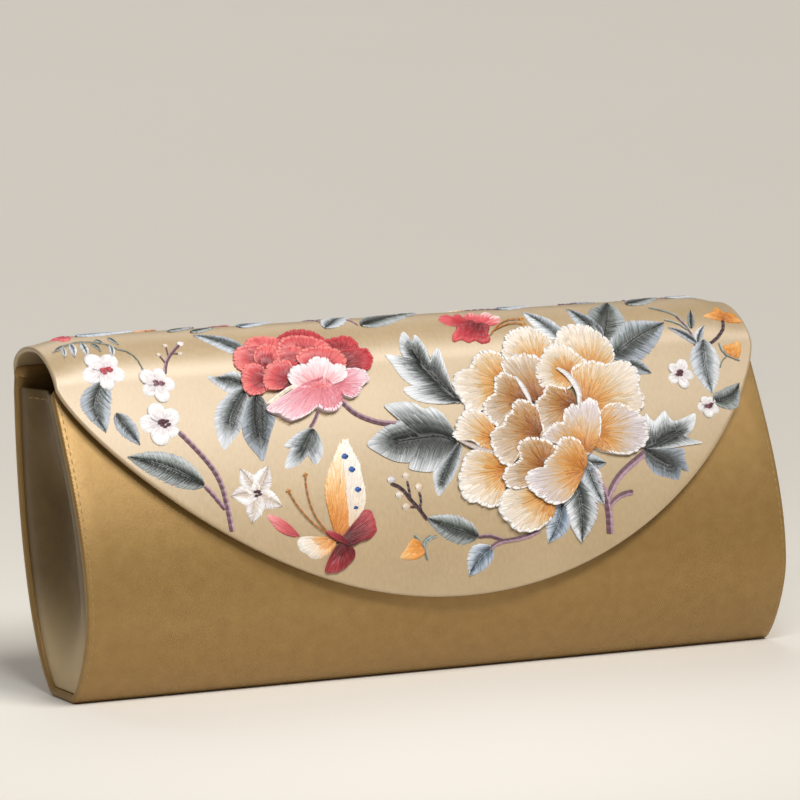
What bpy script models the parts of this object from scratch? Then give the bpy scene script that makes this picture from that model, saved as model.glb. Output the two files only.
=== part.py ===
"""Satin evening purse with a rolled flap, for Blender 4.5 (metres, +Z up).

X runs along the purse, -Y is its front, and it stands on z = 0 with the middle of its
box over the origin. Each sub-part is one closed solid in its own object.
"""
import math

import bpy
from mathutils import Matrix, Vector
from mathutils.geometry import interpolate_bezier

MM = 0.001

# Overall sizes
WIDTH = 250 * MM                # along the purse
DEPTH = 62 * MM                 # flap's face to the back panel's face
CREST_HEIGHT = 112 * MM         # top of the rolled flap above the table

# Walls and clearances
WRAP_WALL = 2.6 * MM            # card between two cloths
FLAP_WALL = 1.8 * MM
GUSSET_WALL = 1.2 * MM
SEAT_GAP = 0.3 * MM             # between pieces that touch on the real purse
FLAP_GAP = 1.8 * MM             # front panel to the flap's underside
EDGE_ROUND = 0.6 * MM           # radius of the turned cloth edges
MOST_ROUND = 0.4                # largest share of a wall that its edge radius takes

# Section of the wrap, seen along X
MOUTH_HEIGHT = 97.4 * MM        # front panel's top edge
MOUTH_DEPTH = 32.2 * MM         # front panel's top edge to the back panel's face
BACK_HEIGHT = 99.8 * MM         # back panel's top edge, where the flap is sewn on
FRONT_LEAN = math.radians(27.5) # lean of the front panel at its top edge
BULGE_HEIGHT = 28 * MM          # where the front panel stands out furthest
BASE_SETBACK = 14.6 * MM        # bulge to the front edge of the flat base strip
BASE_FLAT = 15.8 * MM           # depth of the strip that it stands on

# Flap
SEAM_STAND = 2 * MM             # straight stretch above the seam on the back
CREST_SETBACK = 15.8 * MM       # crest of the roll to the back panel's face
FLAP_DROP = 77 * MM             # corner to tip, measured along the front panel
TIP_SHIFT = 5.5 * MM            # the lowest point hangs to the right of the middle
CORNER_REACH = 1.5 * MM         # how far the flap's corners reach past the mouth line
OUTLINE_POWER = 0.77            # 0.5 would be an ellipse, 1 a parabola
END_DIP = 2.3 * MM              # the roll is drawn down at its two ends
END_DIP_RUN = 14 * MM

# Gussets
GUSSET_INSET = 1.2 * MM         # wrap's end to the gusset's edge
GUSSET_SEAM = 3 * MM            # flat margin along the gusset's sewn edges
GUSSET_SAG = 7 * MM             # how far the slack side hangs inwards
GUSSET_LIFT = 0.2 * MM          # gusset's foot above its seat on the base
HEM_DROP = 0.8 * MM             # gusset's hem below the top edge of the front panel's inner face

# Hidden snap
SNAP_DIAMETER = 12 * MM
SNAP_SLACK = 0.4 * MM           # room for the panel's curve behind the flat disc
SNAP_FROM_TIP = 15 * MM

# Bezier handles of the section, as shares of the heights and depths that they span
LIP_HANDLE = 0.31
BULGE_TOP_HANDLE = 0.37
BULGE_LOW_HANDLE = 0.36
BASE_FRONT_HANDLE = 0.34
BASE_BACK_HANDLE = 0.30
BACK_HANDLE = 0.77
ROUND_HANDLE = 0.552            # the handle that makes a quarter circle
CREST_FRONT_HANDLE = 0.44

# Hollow of a gusset: share of its height, share of GUSSET_SAG
GUSSET_HOLLOW = (
    (0.00, 0.00),
    (0.03, 0.00),
    (0.35, 0.80),
    (0.65, 1.00),
    (0.88, 0.45),
    (1.00, 0.45),
)

# Faces along each direction
SPAN_STEPS = 14
WRAP_COLUMNS = 6
FLAP_COLUMNS = 32
ROLL_STEPS = 8
DROP_ROWS = 10
GUSSET_COLUMNS = 12
GUSSET_ROWS = 16
GUSSET_ROW_POWER = 1.5          # above 1 the rows lie closer together near the round base
EDGE_SEGMENTS = 2

FRONT_FACE = -DEPTH / 2 + FLAP_WALL + FLAP_GAP
BACK_FACE = DEPTH / 2


def span(start, start_handle, end_handle, end, steps):
    """Points of one cubic curve in the section plane, both ends included."""
    return interpolate_bezier(start, start + start_handle, end + end_handle, end, steps + 1)


def section(y, z):
    return Vector((0, y, z))


def front_outline():
    """Outer face of the front panel, from its top edge to the base strip."""
    lip = section(BACK_FACE - MOUTH_DEPTH, MOUTH_HEIGHT)
    bulge = section(FRONT_FACE, BULGE_HEIGHT)
    base = section(FRONT_FACE + BASE_SETBACK, 0)
    rise = MOUTH_HEIGHT - BULGE_HEIGHT
    lean = section(-math.sin(FRONT_LEAN), -math.cos(FRONT_LEAN))
    upper = span(lip, lean * LIP_HANDLE * rise, section(0, BULGE_TOP_HANDLE * rise), bulge, SPAN_STEPS)
    lower = span(
        bulge,
        section(0, -BULGE_LOW_HANDLE * BULGE_HEIGHT),
        section(-BASE_FRONT_HANDLE * BASE_SETBACK, 0),
        base,
        SPAN_STEPS // 2,
    )
    return upper + lower[1:]


def wrap_outline():
    """Outer face of the whole wrap, from the front lip round the base to the back's top edge."""
    front = front_outline()
    base_back = front[-1] + section(BASE_FLAT, 0)
    back_top = section(BACK_FACE, BACK_HEIGHT)
    back = span(
        base_back,
        section(BASE_BACK_HANDLE * BASE_FLAT, 0),
        section(0, -BACK_HANDLE * BACK_HEIGHT),
        back_top,
        SPAN_STEPS,
    )
    return front + back


def outward(points, i):
    """Unit normal of a section curve at point i, away from the purse when it runs front to back."""
    here = points[i]
    ahead = (points[min(i + 1, len(points) - 1)] - here).normalized()
    behind = (here - points[max(i - 1, 0)]).normalized()
    along = (ahead + behind).normalized()
    return section(along.z, -along.y)


def offset(points, distance):
    """The section curve moved outward by that distance, with its corners mitred."""
    moved = []
    for i, p in enumerate(points):
        normal = outward(points, i)
        a, b = (p, points[i + 1]) if i + 1 < len(points) else (points[i - 1], p)
        along = (b - a).normalized()
        mitre = section(along.z, -along.y).dot(normal)
        moved.append(p + normal * distance / mitre)
    return moved


def walk(points, distance):
    """The point at that distance along a section curve."""
    for a, b in zip(points, points[1:]):
        step = (b - a).length
        if distance <= step:
            return a.lerp(b, distance / step)
        distance -= step
    return points[-1].copy()


def smooth(share):
    share = min(max(share, 0), 1)
    return share * share * (3 - 2 * share)


def material(name, colour, roughness, metallic=0.0):
    mat = bpy.data.materials.new(name)
    mat.use_nodes = True
    shader = mat.node_tree.nodes["Principled BSDF"]
    shader.inputs["Base Color"].default_value = (*colour, 1)
    shader.inputs["Roughness"].default_value = roughness
    shader.inputs["Metallic"].default_value = metallic
    return mat


def sheet(name, rows, collection, mat):
    """Open surface through rows of points; its faces look along (step in a row) x (step to the next row)."""
    columns = len(rows[0])
    points = [p for row in rows for p in row]
    faces = [
        (r * columns + c, r * columns + c + 1, (r + 1) * columns + c + 1, (r + 1) * columns + c)
        for r in range(len(rows) - 1)
        for c in range(columns - 1)
    ]
    mesh = bpy.data.meshes.new(name)
    mesh.from_pydata(points, [], faces)
    mesh.materials.append(mat)
    mesh.shade_smooth()
    ob = bpy.data.objects.new(name, mesh)
    collection.objects.link(ob)
    return ob


def thicken(ob, wall):
    """Turns the open surface into a wall behind it, with rounded rims."""
    solid = ob.modifiers.new("wall", "SOLIDIFY")
    solid.thickness = wall
    solid.offset = -1
    solid.use_even_offset = True
    rim = ob.modifiers.new("turned_edge", "BEVEL")
    rim.width = min(EDGE_ROUND, MOST_ROUND * wall)
    rim.segments = EDGE_SEGMENTS
    rim.limit_method = "ANGLE"
    rim.angle_limit = math.radians(60)
    rim.use_clamp_overlap = True
    return ob


def build_wrap(collection):
    cloth = material("champagne_twill_satin", (0.47, 0.34, 0.17), 0.5)
    outline = wrap_outline()
    stations = [WIDTH * (c / WRAP_COLUMNS - 0.5) for c in range(WRAP_COLUMNS + 1)]
    rows = [[p + Vector((x, 0, 0)) for x in stations] for p in reversed(outline)]
    return thicken(sheet("body_wrap", rows, collection, cloth), WRAP_WALL)


def roll_outline(x, lip):
    """Outer face of the roll at station x, from the seam on the back over the crest to the lip line."""
    to_end = WIDTH / 2 - abs(x)
    crest_height = CREST_HEIGHT - END_DIP * (1 - smooth(to_end / END_DIP_RUN))
    seam = section(BACK_FACE, BACK_HEIGHT + SEAT_GAP)
    stand = seam + section(0, SEAM_STAND)
    crest = section(BACK_FACE - CREST_SETBACK, crest_height)
    rise = crest.z - stand.z
    lean = section(math.sin(FRONT_LEAN), math.cos(FRONT_LEAN))
    fall = crest.z - lip.z
    back = span(
        stand,
        section(0, ROUND_HANDLE * rise),
        section(ROUND_HANDLE * CREST_SETBACK, 0),
        crest,
        ROLL_STEPS,
    )
    front = span(
        crest,
        section(-CREST_FRONT_HANDLE * (crest.y - lip.y), 0),
        lean * fall * ROUND_HANDLE,
        lip,
        ROLL_STEPS,
    )
    return [seam] + back + front[1:]


def build_flap(collection):
    cloth = material("ivory_gold_satin", (0.72, 0.58, 0.38), 0.38)
    panel = offset(front_outline(), FLAP_GAP + FLAP_WALL)
    columns = []
    for c in range(FLAP_COLUMNS + 1):
        turn = math.pi * (c / FLAP_COLUMNS - 0.5)
        x = WIDTH / 2 * math.sin(turn)
        across = math.sin(turn) - TIP_SHIFT / (WIDTH / 2) * math.cos(turn) ** 2
        reach = CORNER_REACH + FLAP_DROP * max(1 - across * across, 0) ** OUTLINE_POWER
        hanging = [walk(panel, reach * r / DROP_ROWS) for r in range(1, DROP_ROWS + 1)]
        columns.append([p + Vector((x, 0, 0)) for p in roll_outline(x, panel[0]) + hanging])
    return thicken(sheet("flap", columns, collection, cloth), FLAP_WALL)


def crossing(points, height):
    """Depth at which a section curve first passes that height."""
    for a, b in zip(points, points[1:]):
        low, high = sorted((a.z, b.z))
        if low <= height <= high and high > low:
            return a.lerp(b, (height - a.z) / (b.z - a.z)).y
    return points[-1].y


def hollow(share):
    """Depth of a gusset's hollow at a share of its height, eased between the table's rows."""
    for (low, low_depth), (high, high_depth) in zip(GUSSET_HOLLOW, GUSSET_HOLLOW[1:]):
        if share <= high:
            return low_depth + (high_depth - low_depth) * smooth((share - low) / (high - low))
    return GUSSET_HOLLOW[-1][1]


def build_gusset(name, side, collection):
    """Slack side panel: side is -1 at the left end and 1 at the right."""
    cloth = material(name + "_satin", (0.36, 0.27, 0.15), 0.45)
    inner = offset(wrap_outline(), -(WRAP_WALL + SEAT_GAP))
    floor = WRAP_WALL + SEAT_GAP + GUSSET_LIFT
    hem = inner[0].z - HEM_DROP
    rows = []
    for r in range(GUSSET_ROWS + 1):
        share = (r / GUSSET_ROWS) ** GUSSET_ROW_POWER
        height = floor + (hem - floor) * share
        front = crossing(inner, height)
        back = crossing(inner[::-1], height)
        row = []
        seam = min(GUSSET_SEAM, (back - front) / 4)
        for y, across in [(front, 0)] + [
            (front + seam + (back - front - 2 * seam) * c / GUSSET_COLUMNS, c / GUSSET_COLUMNS)
            for c in range(GUSSET_COLUMNS + 1)
        ] + [(back, 1)]:
            depth = GUSSET_SAG * hollow(share) * math.sin(math.pi * across) ** 2
            row.append(Vector((side * (WIDTH / 2 - GUSSET_INSET - depth), y, height)))
        rows.append(row if side > 0 else row[::-1])
    return thicken(sheet(name, rows, collection, cloth), GUSSET_WALL)


def build_snap(collection):
    """Magnetic snap that lies between the flap's tip and the front panel."""
    steel = material("nickel_plated_steel", (0.6, 0.58, 0.55), 0.3, 1.0)
    panel = front_outline()
    distance = CORNER_REACH + FLAP_DROP - SNAP_FROM_TIP
    seat = walk(panel, distance)
    ahead = walk(panel, distance + MM)
    along = (ahead - seat).normalized()
    out = section(along.z, -along.y)
    height = FLAP_GAP - 2 * SEAT_GAP - SNAP_SLACK
    bpy.ops.mesh.primitive_cylinder_add(vertices=28, radius=SNAP_DIAMETER / 2, depth=height)
    ob = bpy.context.object
    ob.name = ob.data.name = "magnetic_snap"
    turn = Vector((0, 0, 1)).rotation_difference(out).to_matrix().to_4x4()
    ob.matrix_world = Matrix.Translation(seat + out * (SEAT_GAP + height / 2)) @ turn
    ob.data.materials.append(steel)
    for owner in list(ob.users_collection):
        owner.objects.unlink(ob)
    collection.objects.link(ob)
    return ob


for old in list(bpy.data.objects):
    bpy.data.objects.remove(old, do_unlink=True)
purse = bpy.data.collections.new("embroidered_purse")
bpy.context.scene.collection.children.link(purse)
build_wrap(purse)
build_flap(purse)
build_gusset("gusset_left", -1, purse)
build_gusset("gusset_right", 1, purse)
build_snap(purse)
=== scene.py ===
"""Satin evening purse with an embroidered flap: its looks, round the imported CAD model.

Metres, +Z up. X runs along the purse, -Y is its front, and it stands on z = 0.
"""
import math

import bpy
import numpy as np
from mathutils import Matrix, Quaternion, Vector


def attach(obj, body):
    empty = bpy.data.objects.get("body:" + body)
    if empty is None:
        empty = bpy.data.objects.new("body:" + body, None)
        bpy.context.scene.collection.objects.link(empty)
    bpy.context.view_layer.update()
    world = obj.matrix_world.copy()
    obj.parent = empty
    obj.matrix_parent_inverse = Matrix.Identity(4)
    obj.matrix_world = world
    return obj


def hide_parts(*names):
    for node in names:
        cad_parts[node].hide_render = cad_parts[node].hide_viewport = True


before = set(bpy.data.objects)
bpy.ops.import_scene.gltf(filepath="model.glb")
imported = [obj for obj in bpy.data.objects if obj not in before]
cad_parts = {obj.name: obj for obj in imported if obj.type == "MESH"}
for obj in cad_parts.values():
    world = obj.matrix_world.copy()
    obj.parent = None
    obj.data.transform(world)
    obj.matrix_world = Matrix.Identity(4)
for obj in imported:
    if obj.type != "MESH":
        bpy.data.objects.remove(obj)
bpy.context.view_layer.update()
MM = 0.001


# The camera. A long lens looks from the left and a little above, and it is turned a
# fraction about its own axis, as a tripod head set by hand is.

AZIMUTH = math.radians(26.2)
ELEVATION = math.radians(7.15)
CAMERA_ROLL = math.radians(-0.57)
AIM = Vector((-3.2, 0, 86.57)) * MM
CAMERA_DISTANCE = 1775 * MM
LENS = 247.5                    # millimetres
SENSOR = 36                     # millimetres, across the frame
FRAME_PIXELS = 800              # the photograph's width and height


def placed(name, data, place=(0, 0, 0), turn=None):
    """New object in the scene; turn is its rotation as a quaternion."""
    ob = bpy.data.objects.new(name, data)
    ob.location = place
    if turn is not None:
        ob.rotation_mode = "QUATERNION"
        ob.rotation_quaternion = turn
    bpy.context.scene.collection.objects.link(ob)
    return ob


looking = Vector((
    math.sin(AZIMUTH) * math.cos(ELEVATION),
    math.cos(AZIMUTH) * math.cos(ELEVATION),
    -math.sin(ELEVATION),
))
camera_turn = looking.to_track_quat("-Z", "Y") @ Quaternion((0, 0, 1), CAMERA_ROLL)
camera_place = AIM - looking * CAMERA_DISTANCE
lens = bpy.data.cameras.new("long_lens")
lens.lens = LENS
lens.sensor_width = SENSOR
lens.clip_start = 10 * MM
lens.clip_end = 20              # metres, beyond the board's far edge
bpy.context.scene.camera = placed("camera", lens, camera_place, camera_turn)


# The studio. The purse stands on a sheet of matt white board that fills the view. A large
# window high at the right front lights the board and the flap and leaves the left side in
# shade, a lower one behind lights the back, and a small softbox near the left end draws its gleam.

BOARD_SIDE = 12.0
BOARD_DROP = 0.05 * MM          # the board's face under the purse's base
ROOM_COLOUR = "#E9E6E2"
ROOM_STRENGTH = 0.2
WINDOWS = (
    # name, azimuth from the front and elevation in degrees, strength, spread in degrees, colour
    ("front_window", 28, 56, 1.8, 24, "#FFFAF2"),
    ("back_window", 170, 45, 0.55, 40, "#FFFAF4"),
)
SOFTBOX_PLACE = (-0.13, -0.40, 0.50)    # metres
SOFTBOX_SIZE = (0.24, 0.12)
SOFTBOX_AIM = (-0.03, 0, 0.09)
SOFTBOX_WATTS = 0.5
SOFTBOX_SPREAD = 90             # degrees; a honeycomb grid keeps the light off the board


def linear(hex_colour):
    """sRGB hex to a linear colour with alpha."""
    shares = [int(hex_colour[i:i + 2], 16) / 255 for i in (1, 3, 5)]
    return [c / 12.92 if c <= 0.04045 else ((c + 0.055) / 1.055) ** 2.4 for c in shares] + [1]


def feed(mat, node, **inputs):
    """Gives each input a value or a hex colour, or joins it to a (node, output). Its name has _ for
    a space, or is _ and a number where the input is taken by its place."""
    for name, value in inputs.items():
        socket = node.inputs[int(name[1:])] if name[0] == "_" else node.inputs[name.replace("_", " ")]
        if isinstance(value, tuple) and isinstance(value[0], bpy.types.Node):
            mat.node_tree.links.new(value[0].outputs[value[1]], socket)
        else:
            socket.default_value = linear(value) if isinstance(value, str) else value


def add_node(mat, kind, settings=None, **inputs):
    """Adds a node with its settings and inputs."""
    made = mat.node_tree.nodes.new(kind)
    for name, value in (settings or {}).items():
        setattr(made, name, value)
    feed(mat, made, **inputs)
    return made


def new_material(name):
    """Empty node material and its Principled shader."""
    mat = bpy.data.materials.new(name)
    mat.use_nodes = True
    return mat, mat.node_tree.nodes["Principled BSDF"]


def new_mesh(name, vertices, faces, mat):
    """Smoothly shaded mesh of one material."""
    mesh = bpy.data.meshes.new(name)
    mesh.from_pydata(vertices, [], faces)
    mesh.materials.append(mat)
    mesh.shade_smooth()
    return mesh


BLEND = {"data_type": "RGBA"}
MULTIPLY = {"data_type": "RGBA", "blend_type": "MULTIPLY"}

# Matt white card: a faint mottle in its grey keeps it from looking like a flat fill.
board_card, shader = new_material("matt_white_board")
mottle = add_node(board_card, "ShaderNodeTexNoise", Scale=7.0, Detail=3.0)
tone = add_node(board_card, "ShaderNodeMix", BLEND, Factor=(mottle, "Fac"), A="#E9E5DE", B="#EFECE6")
feed(board_card, shader, Base_Color=(tone, "Result"), Roughness=0.6)
half = BOARD_SIDE / 2
corners = [(-half, -half, 0), (half, -half, 0), (half, half, 0), (-half, half, 0)]
board_mesh = new_mesh("studio_board", corners, [(0, 1, 2, 3)], board_card)
board = placed("studio_board", board_mesh, (0, 0, -BOARD_DROP))

for name, azimuth, elevation, strength, spread, colour in WINDOWS:
    a, e = math.radians(azimuth), math.radians(elevation)
    toward = Vector((math.sin(a) * math.cos(e), -math.cos(a) * math.cos(e), math.sin(e)))
    daylight = bpy.data.lights.new(name, "SUN")
    daylight.energy = strength
    daylight.angle = math.radians(spread)
    daylight.color = linear(colour)[:3]
    placed(name, daylight, turn=toward.to_track_quat("Z", "Y"))

panel_light = bpy.data.lights.new("softbox", "AREA")
panel_light.shape = "RECTANGLE"
panel_light.size, panel_light.size_y = SOFTBOX_SIZE
panel_light.energy = SOFTBOX_WATTS
panel_light.spread = math.radians(SOFTBOX_SPREAD)
softbox_back = Vector(SOFTBOX_PLACE) - Vector(SOFTBOX_AIM)
placed("softbox", panel_light, SOFTBOX_PLACE, softbox_back.to_track_quat("Z", "Y"))

room = bpy.data.worlds.new("studio_room")
room.use_nodes = True
feed(room, room.node_tree.nodes["Background"], Color=ROOM_COLOUR, Strength=ROOM_STRENGTH)
bpy.context.scene.world = room
bpy.context.scene.view_settings.view_transform = "Standard"


# The wrap. One strip of card between two cloths makes the front panel, the rounded base and
# the back panel. The outer cloth is a polyester twill satin in champagne gold, turned over
# the card's edges and glued, then run round with one line of machine stitches.

WIDTH = 250 * MM
DEPTH = 62 * MM
WRAP_WALL = 2.6 * MM
MOUTH_HEIGHT = 97.4 * MM        # front panel's top edge
MOUTH_DEPTH = 32.2 * MM         # front panel's top edge to the back panel's face
BACK_HEIGHT = 99.8 * MM
FRONT_LEAN = math.radians(27.5)
BULGE_HEIGHT = 28 * MM          # where the front panel stands out furthest
BASE_SETBACK = 14.6 * MM
BASE_FLAT = 15.8 * MM
FLAP_WALL = 1.8 * MM
FLAP_GAP = 1.8 * MM             # front panel to the flap's underside
TURNED_EDGE = 0.85 * MM         # radius of the cloth turned over the card
BACK_FACE = DEPTH / 2
FRONT_FACE = -DEPTH / 2 + FLAP_WALL + FLAP_GAP
# Handles of the section's curves, as shares of the heights and depths that they span
LIP_HANDLE = 0.31
BULGE_TOP_HANDLE = 0.37
BULGE_LOW_HANDLE = 0.36
BASE_FRONT_HANDLE = 0.34
BASE_BACK_HANDLE = 0.30
BACK_HANDLE = 0.77
SPAN_STEPS = 44                 # rows of points along one curve
BASE_STEPS = 7
EDGE_STEPS = 4                  # rows of points round half a turned edge
WRAP_COLUMNS = 40


def span(start, start_handle, end_handle, end, steps=SPAN_STEPS):
    """Points (y, z) of one cubic curve, both ends included."""
    t = np.linspace(0, 1, steps + 1)[:, None]
    start, end = np.array(start), np.array(end)
    near, far = start + start_handle, end + end_handle
    return (1 - t) ** 3 * start + 3 * (1 - t) ** 2 * t * near + 3 * (1 - t) * t * t * far + t ** 3 * end


def front_outline():
    """Outer face of the front panel, from its top edge to the base strip."""
    lip = (BACK_FACE - MOUTH_DEPTH, MOUTH_HEIGHT)
    bulge = (FRONT_FACE, BULGE_HEIGHT)
    base = (FRONT_FACE + BASE_SETBACK, 0)
    rise = MOUTH_HEIGHT - BULGE_HEIGHT
    lean = np.array((-math.sin(FRONT_LEAN), -math.cos(FRONT_LEAN))) * LIP_HANDLE * rise
    upper = span(lip, lean, (0, BULGE_TOP_HANDLE * rise), bulge)
    lower = span(
        bulge,
        (0, -BULGE_LOW_HANDLE * BULGE_HEIGHT),
        (-BASE_FRONT_HANDLE * BASE_SETBACK, 0),
        base,
        SPAN_STEPS // 2,
    )
    return np.vstack([upper, lower[1:]])


def wrap_outline():
    """Outer face of the whole wrap, from the front lip round the base to the back's top edge."""
    front = front_outline()
    base_back = front[-1] + (BASE_FLAT, 0)
    back = span(
        base_back,
        (BASE_BACK_HANDLE * BASE_FLAT, 0),
        (0, -BACK_HANDLE * BACK_HEIGHT),
        (BACK_FACE, BACK_HEIGHT),
    )
    base = np.linspace(front[-1], base_back, BASE_STEPS + 1)[1:]
    return np.vstack([front, base, back[1:]])


def arc_lengths(points):
    """Distance along the points, from the first."""
    return np.concatenate([[0], np.cumsum(np.linalg.norm(np.diff(points, axis=0), axis=1))])


def unit(vectors):
    """The same directions, each with length 1."""
    return vectors / np.linalg.norm(vectors, axis=-1)[..., None]


def facing(points):
    """Unit normals (y, z) of a section curve that runs from front to back, away from the purse."""
    along = unit(np.gradient(points, arc_lengths(points), axis=0))
    return np.stack([along[:, 1], -along[:, 0]], 1)


def covered_card(name, grid, normals, flat, wall, turned, mat):
    """Card covered with cloth: a face through a grid of points (rows, columns, xyz), a wall behind it,
    and rims that bulge out by `turned`, as cloth does that is turned over an edge. flat holds each
    point's place on the cloth laid flat, in metres, and becomes the UV map named cloth."""
    rows, columns = grid.shape[:2]
    count = rows * columns
    number = np.arange(count).reshape(rows, columns)
    rim = np.concatenate([number[0, :-1], number[:-1, -1], number[-1, :0:-1], number[:0:-1, 0]])
    points, facings, places = grid.reshape(-1, 3), normals.reshape(-1, 3), flat.reshape(-1, 2)
    along = np.roll(points[rim], -1, 0) - np.roll(points[rim], 1, 0)
    out = -unit(np.cross(facings[rim], along))
    flat_along = np.roll(places[rim], -1, 0) - np.roll(places[rim], 1, 0)
    flat_out = unit(np.stack([flat_along[:, 1], -flat_along[:, 0]], 1))
    flat_out *= np.sign(np.sum(flat_out * (places[rim] - places.mean(0)), axis=1))[:, None]
    bend = np.linspace(0, math.pi / 2, EDGE_STEPS + 1)
    edge_path = [(turned * math.sin(t), turned * (1 - math.cos(t))) for t in bend[1:]]
    edge_path += [(outward, wall - depth) for outward, depth in reversed(edge_path)]
    rings, ring_places, travelled = [], [], 0.0
    for outward, depth in edge_path:
        travelled += turned * math.pi / 2 / EDGE_STEPS
        rings.append(points[rim] + out * outward - facings[rim] * depth)
        ring_places.append(places[rim] + flat_out * travelled)
    vertices = np.vstack([points, points - facings * wall, *rings])
    places = np.vstack([places, places, *ring_places])

    quads = np.stack([number[:-1, :-1], number[:-1, 1:], number[1:, 1:], number[1:, :-1]], -1).reshape(-1, 4)
    ring_numbers = [2 * count + i * len(rim) + np.arange(len(rim)) for i in range(len(rings))]
    loops = [rim, *ring_numbers, rim + count]
    walls = [np.stack([a, b, np.roll(b, -1), np.roll(a, -1)], -1) for a, b in zip(loops, loops[1:])]
    faces = np.vstack([quads, quads[:, ::-1] + count, *walls])
    mesh = new_mesh(name, vertices.tolist(), faces.tolist(), mat)
    uv = mesh.uv_layers.new(name="cloth")
    uv.data.foreach_set("uv", places[faces.ravel()].astype(np.float32).ravel())
    return placed(name, mesh)


# Twill satin: floats of warp lie side by side at a slant, so it shows a fine diagonal grain
# with a soft gleam across it. Real floats are 0.15 mm apart; they are drawn at 0.7 mm, about
# two pixels of the picture, so that the grain shows at all.
FLOAT_SPACING = 0.7 * MM
TWILL_SLANT = math.radians(32)
BAND = 2 * math.pi / 20         # one band of a wave texture at scale 1
twill_satin, shader = new_material("champagne_twill_satin")
cloth_uv = add_node(twill_satin, "ShaderNodeUVMap", {"uv_map": "cloth"})
slanted = add_node(
    twill_satin, "ShaderNodeMapping", Vector=(cloth_uv, "UV"), Rotation=(0, 0, TWILL_SLANT)
)
drift = add_node(twill_satin, "ShaderNodeTexNoise", Vector=(cloth_uv, "UV"), Scale=220.0, Detail=3.0)
floats = add_node(
    twill_satin, "ShaderNodeTexWave", {"wave_type": "BANDS", "bands_direction": "X"},
    Vector=(slanted, "Vector"), Scale=BAND / FLOAT_SPACING, Distortion=2.6, Detail=3.0, Detail_Scale=0.9
)
slubs = add_node(twill_satin, "ShaderNodeTexNoise", Vector=(slanted, "Vector"), Scale=900.0, Detail=2.0)
tone = add_node(twill_satin, "ShaderNodeMix", BLEND, Factor=(drift, "Fac"), A="#8F6F3D", B="#A3834D")
shade = add_node(twill_satin, "ShaderNodeMapRange", Value=(floats, "Fac"), To_Min=0.92, To_Max=1.05)
thread = add_node(
    twill_satin, "ShaderNodeMix", MULTIPLY, Factor=1.0, A=(tone, "Result"), B=(shade, "Result")
)
gloss = add_node(twill_satin, "ShaderNodeMapRange", Value=(slubs, "Fac"), To_Min=0.36, To_Max=0.52)
heights = add_node(
    twill_satin, "ShaderNodeMath", {"operation": "ADD"}, _0=(floats, "Fac"), _1=(slubs, "Fac")
)
weave = add_node(
    twill_satin, "ShaderNodeBump", Strength=0.28, Distance=0.1 * MM, Height=(heights, "Value")
)
feed(
    twill_satin, shader, Base_Color=(thread, "Result"), Roughness=(gloss, "Result"),
    Normal=(weave, "Normal"), IOR=1.5, Metallic=0.4,
    Sheen_Weight=0.12, Sheen_Roughness=0.4, Sheen_Tint="#F3DDB4"
)

outline = wrap_outline()
run = arc_lengths(outline)
within = np.clip(run, TURNED_EDGE, run[-1] - TURNED_EDGE)
stations = np.linspace(TURNED_EDGE - WIDTH / 2, WIDTH / 2 - TURNED_EDGE, WRAP_COLUMNS + 1)
x, y = np.broadcast_arrays(stations, np.interp(within, run, outline[:, 0])[:, None])
z = np.interp(within, run, outline[:, 1])[:, None] + 0 * x
away = facing(outline)
normals = np.stack(np.broadcast_arrays(0 * x, away[:, None, 0], away[:, None, 1]), -1)
flat = np.stack(np.broadcast_arrays(stations, within[:, None]), -1)
grid = np.stack([x, y, z], -1)
body_wrap = covered_card(
    "wrap_cloth", grid[::-1], normals[::-1], flat[::-1], WRAP_WALL, TURNED_EDGE, twill_satin
)
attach(body_wrap, "root")
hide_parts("body_wrap")


# The end stitching. One row of gold polyester thread runs round each end of the wrap, 1.6 mm
# in from the edge, and holds the turned cloth to the card. Each stitch dips into the satin at
# its ends. None is drawn under the flat of the base, which stands on the board.

STITCH_LENGTH = 2.3 * MM
STITCH_PITCH = 2.7 * MM
STITCH_WIDTH = 0.45 * MM
STITCH_RISE = 0.16 * MM
STITCH_INSET = 1.6 * MM
# Along a stitch: its thickness, and its height as a share of STITCH_RISE
STITCH_PLUMP = np.array([0.35, 0.8, 1, 1, 1, 0.8, 0.35])[:, None]
STITCH_LEVEL = np.array([-0.6, 0.4, 0.9, 1, 0.9, 0.4, -0.6])[:, None]
STITCH_DIP = 0.7
STITCH_SECTION = ((-1, -0.4), (-0.6, 0.5), (0, 0.8), (0.6, 0.5), (1, -0.4))     # across, up


def columns_at(at, run, table):
    """Rows of a table at those distances along it, straight between its own."""
    return np.stack([np.interp(at, run, column) for column in table.T], -1)


def sewn_row(path, out):
    """Vertices and faces of a row of stitches that follow a path (n, xyz) on a face with normals out."""
    run = arc_lengths(path)
    stations, lines = len(STITCH_PLUMP), len(STITCH_SECTION)
    vertices, faces = [], []
    for first in np.arange(0.5 * STITCH_PITCH, run[-1] - STITCH_LENGTH, STITCH_PITCH):
        at = first + STITCH_LENGTH * np.linspace(0, 1, stations)
        spine, up = columns_at(at, run, path), columns_at(at, run, out)
        side = unit(np.cross(up, np.gradient(spine, axis=0)))
        ring = [
            spine
            + side * (STITCH_WIDTH / 2 * STITCH_PLUMP * across)
            + up * (STITCH_RISE * (STITCH_LEVEL + STITCH_PLUMP * lift - STITCH_DIP))
            for across, lift in STITCH_SECTION
        ]
        k, j = np.meshgrid(np.arange(stations - 1), np.arange(lines - 1), indexing="ij")
        corner = (len(vertices) * stations + k) * lines + j
        faces.append(np.stack([corner, corner + 1, corner + lines + 1, corner + lines], -1).reshape(-1, 4))
        vertices.append(np.stack(ring, 1).reshape(-1, 3))
    return np.vstack(vertices), np.vstack(faces)


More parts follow.
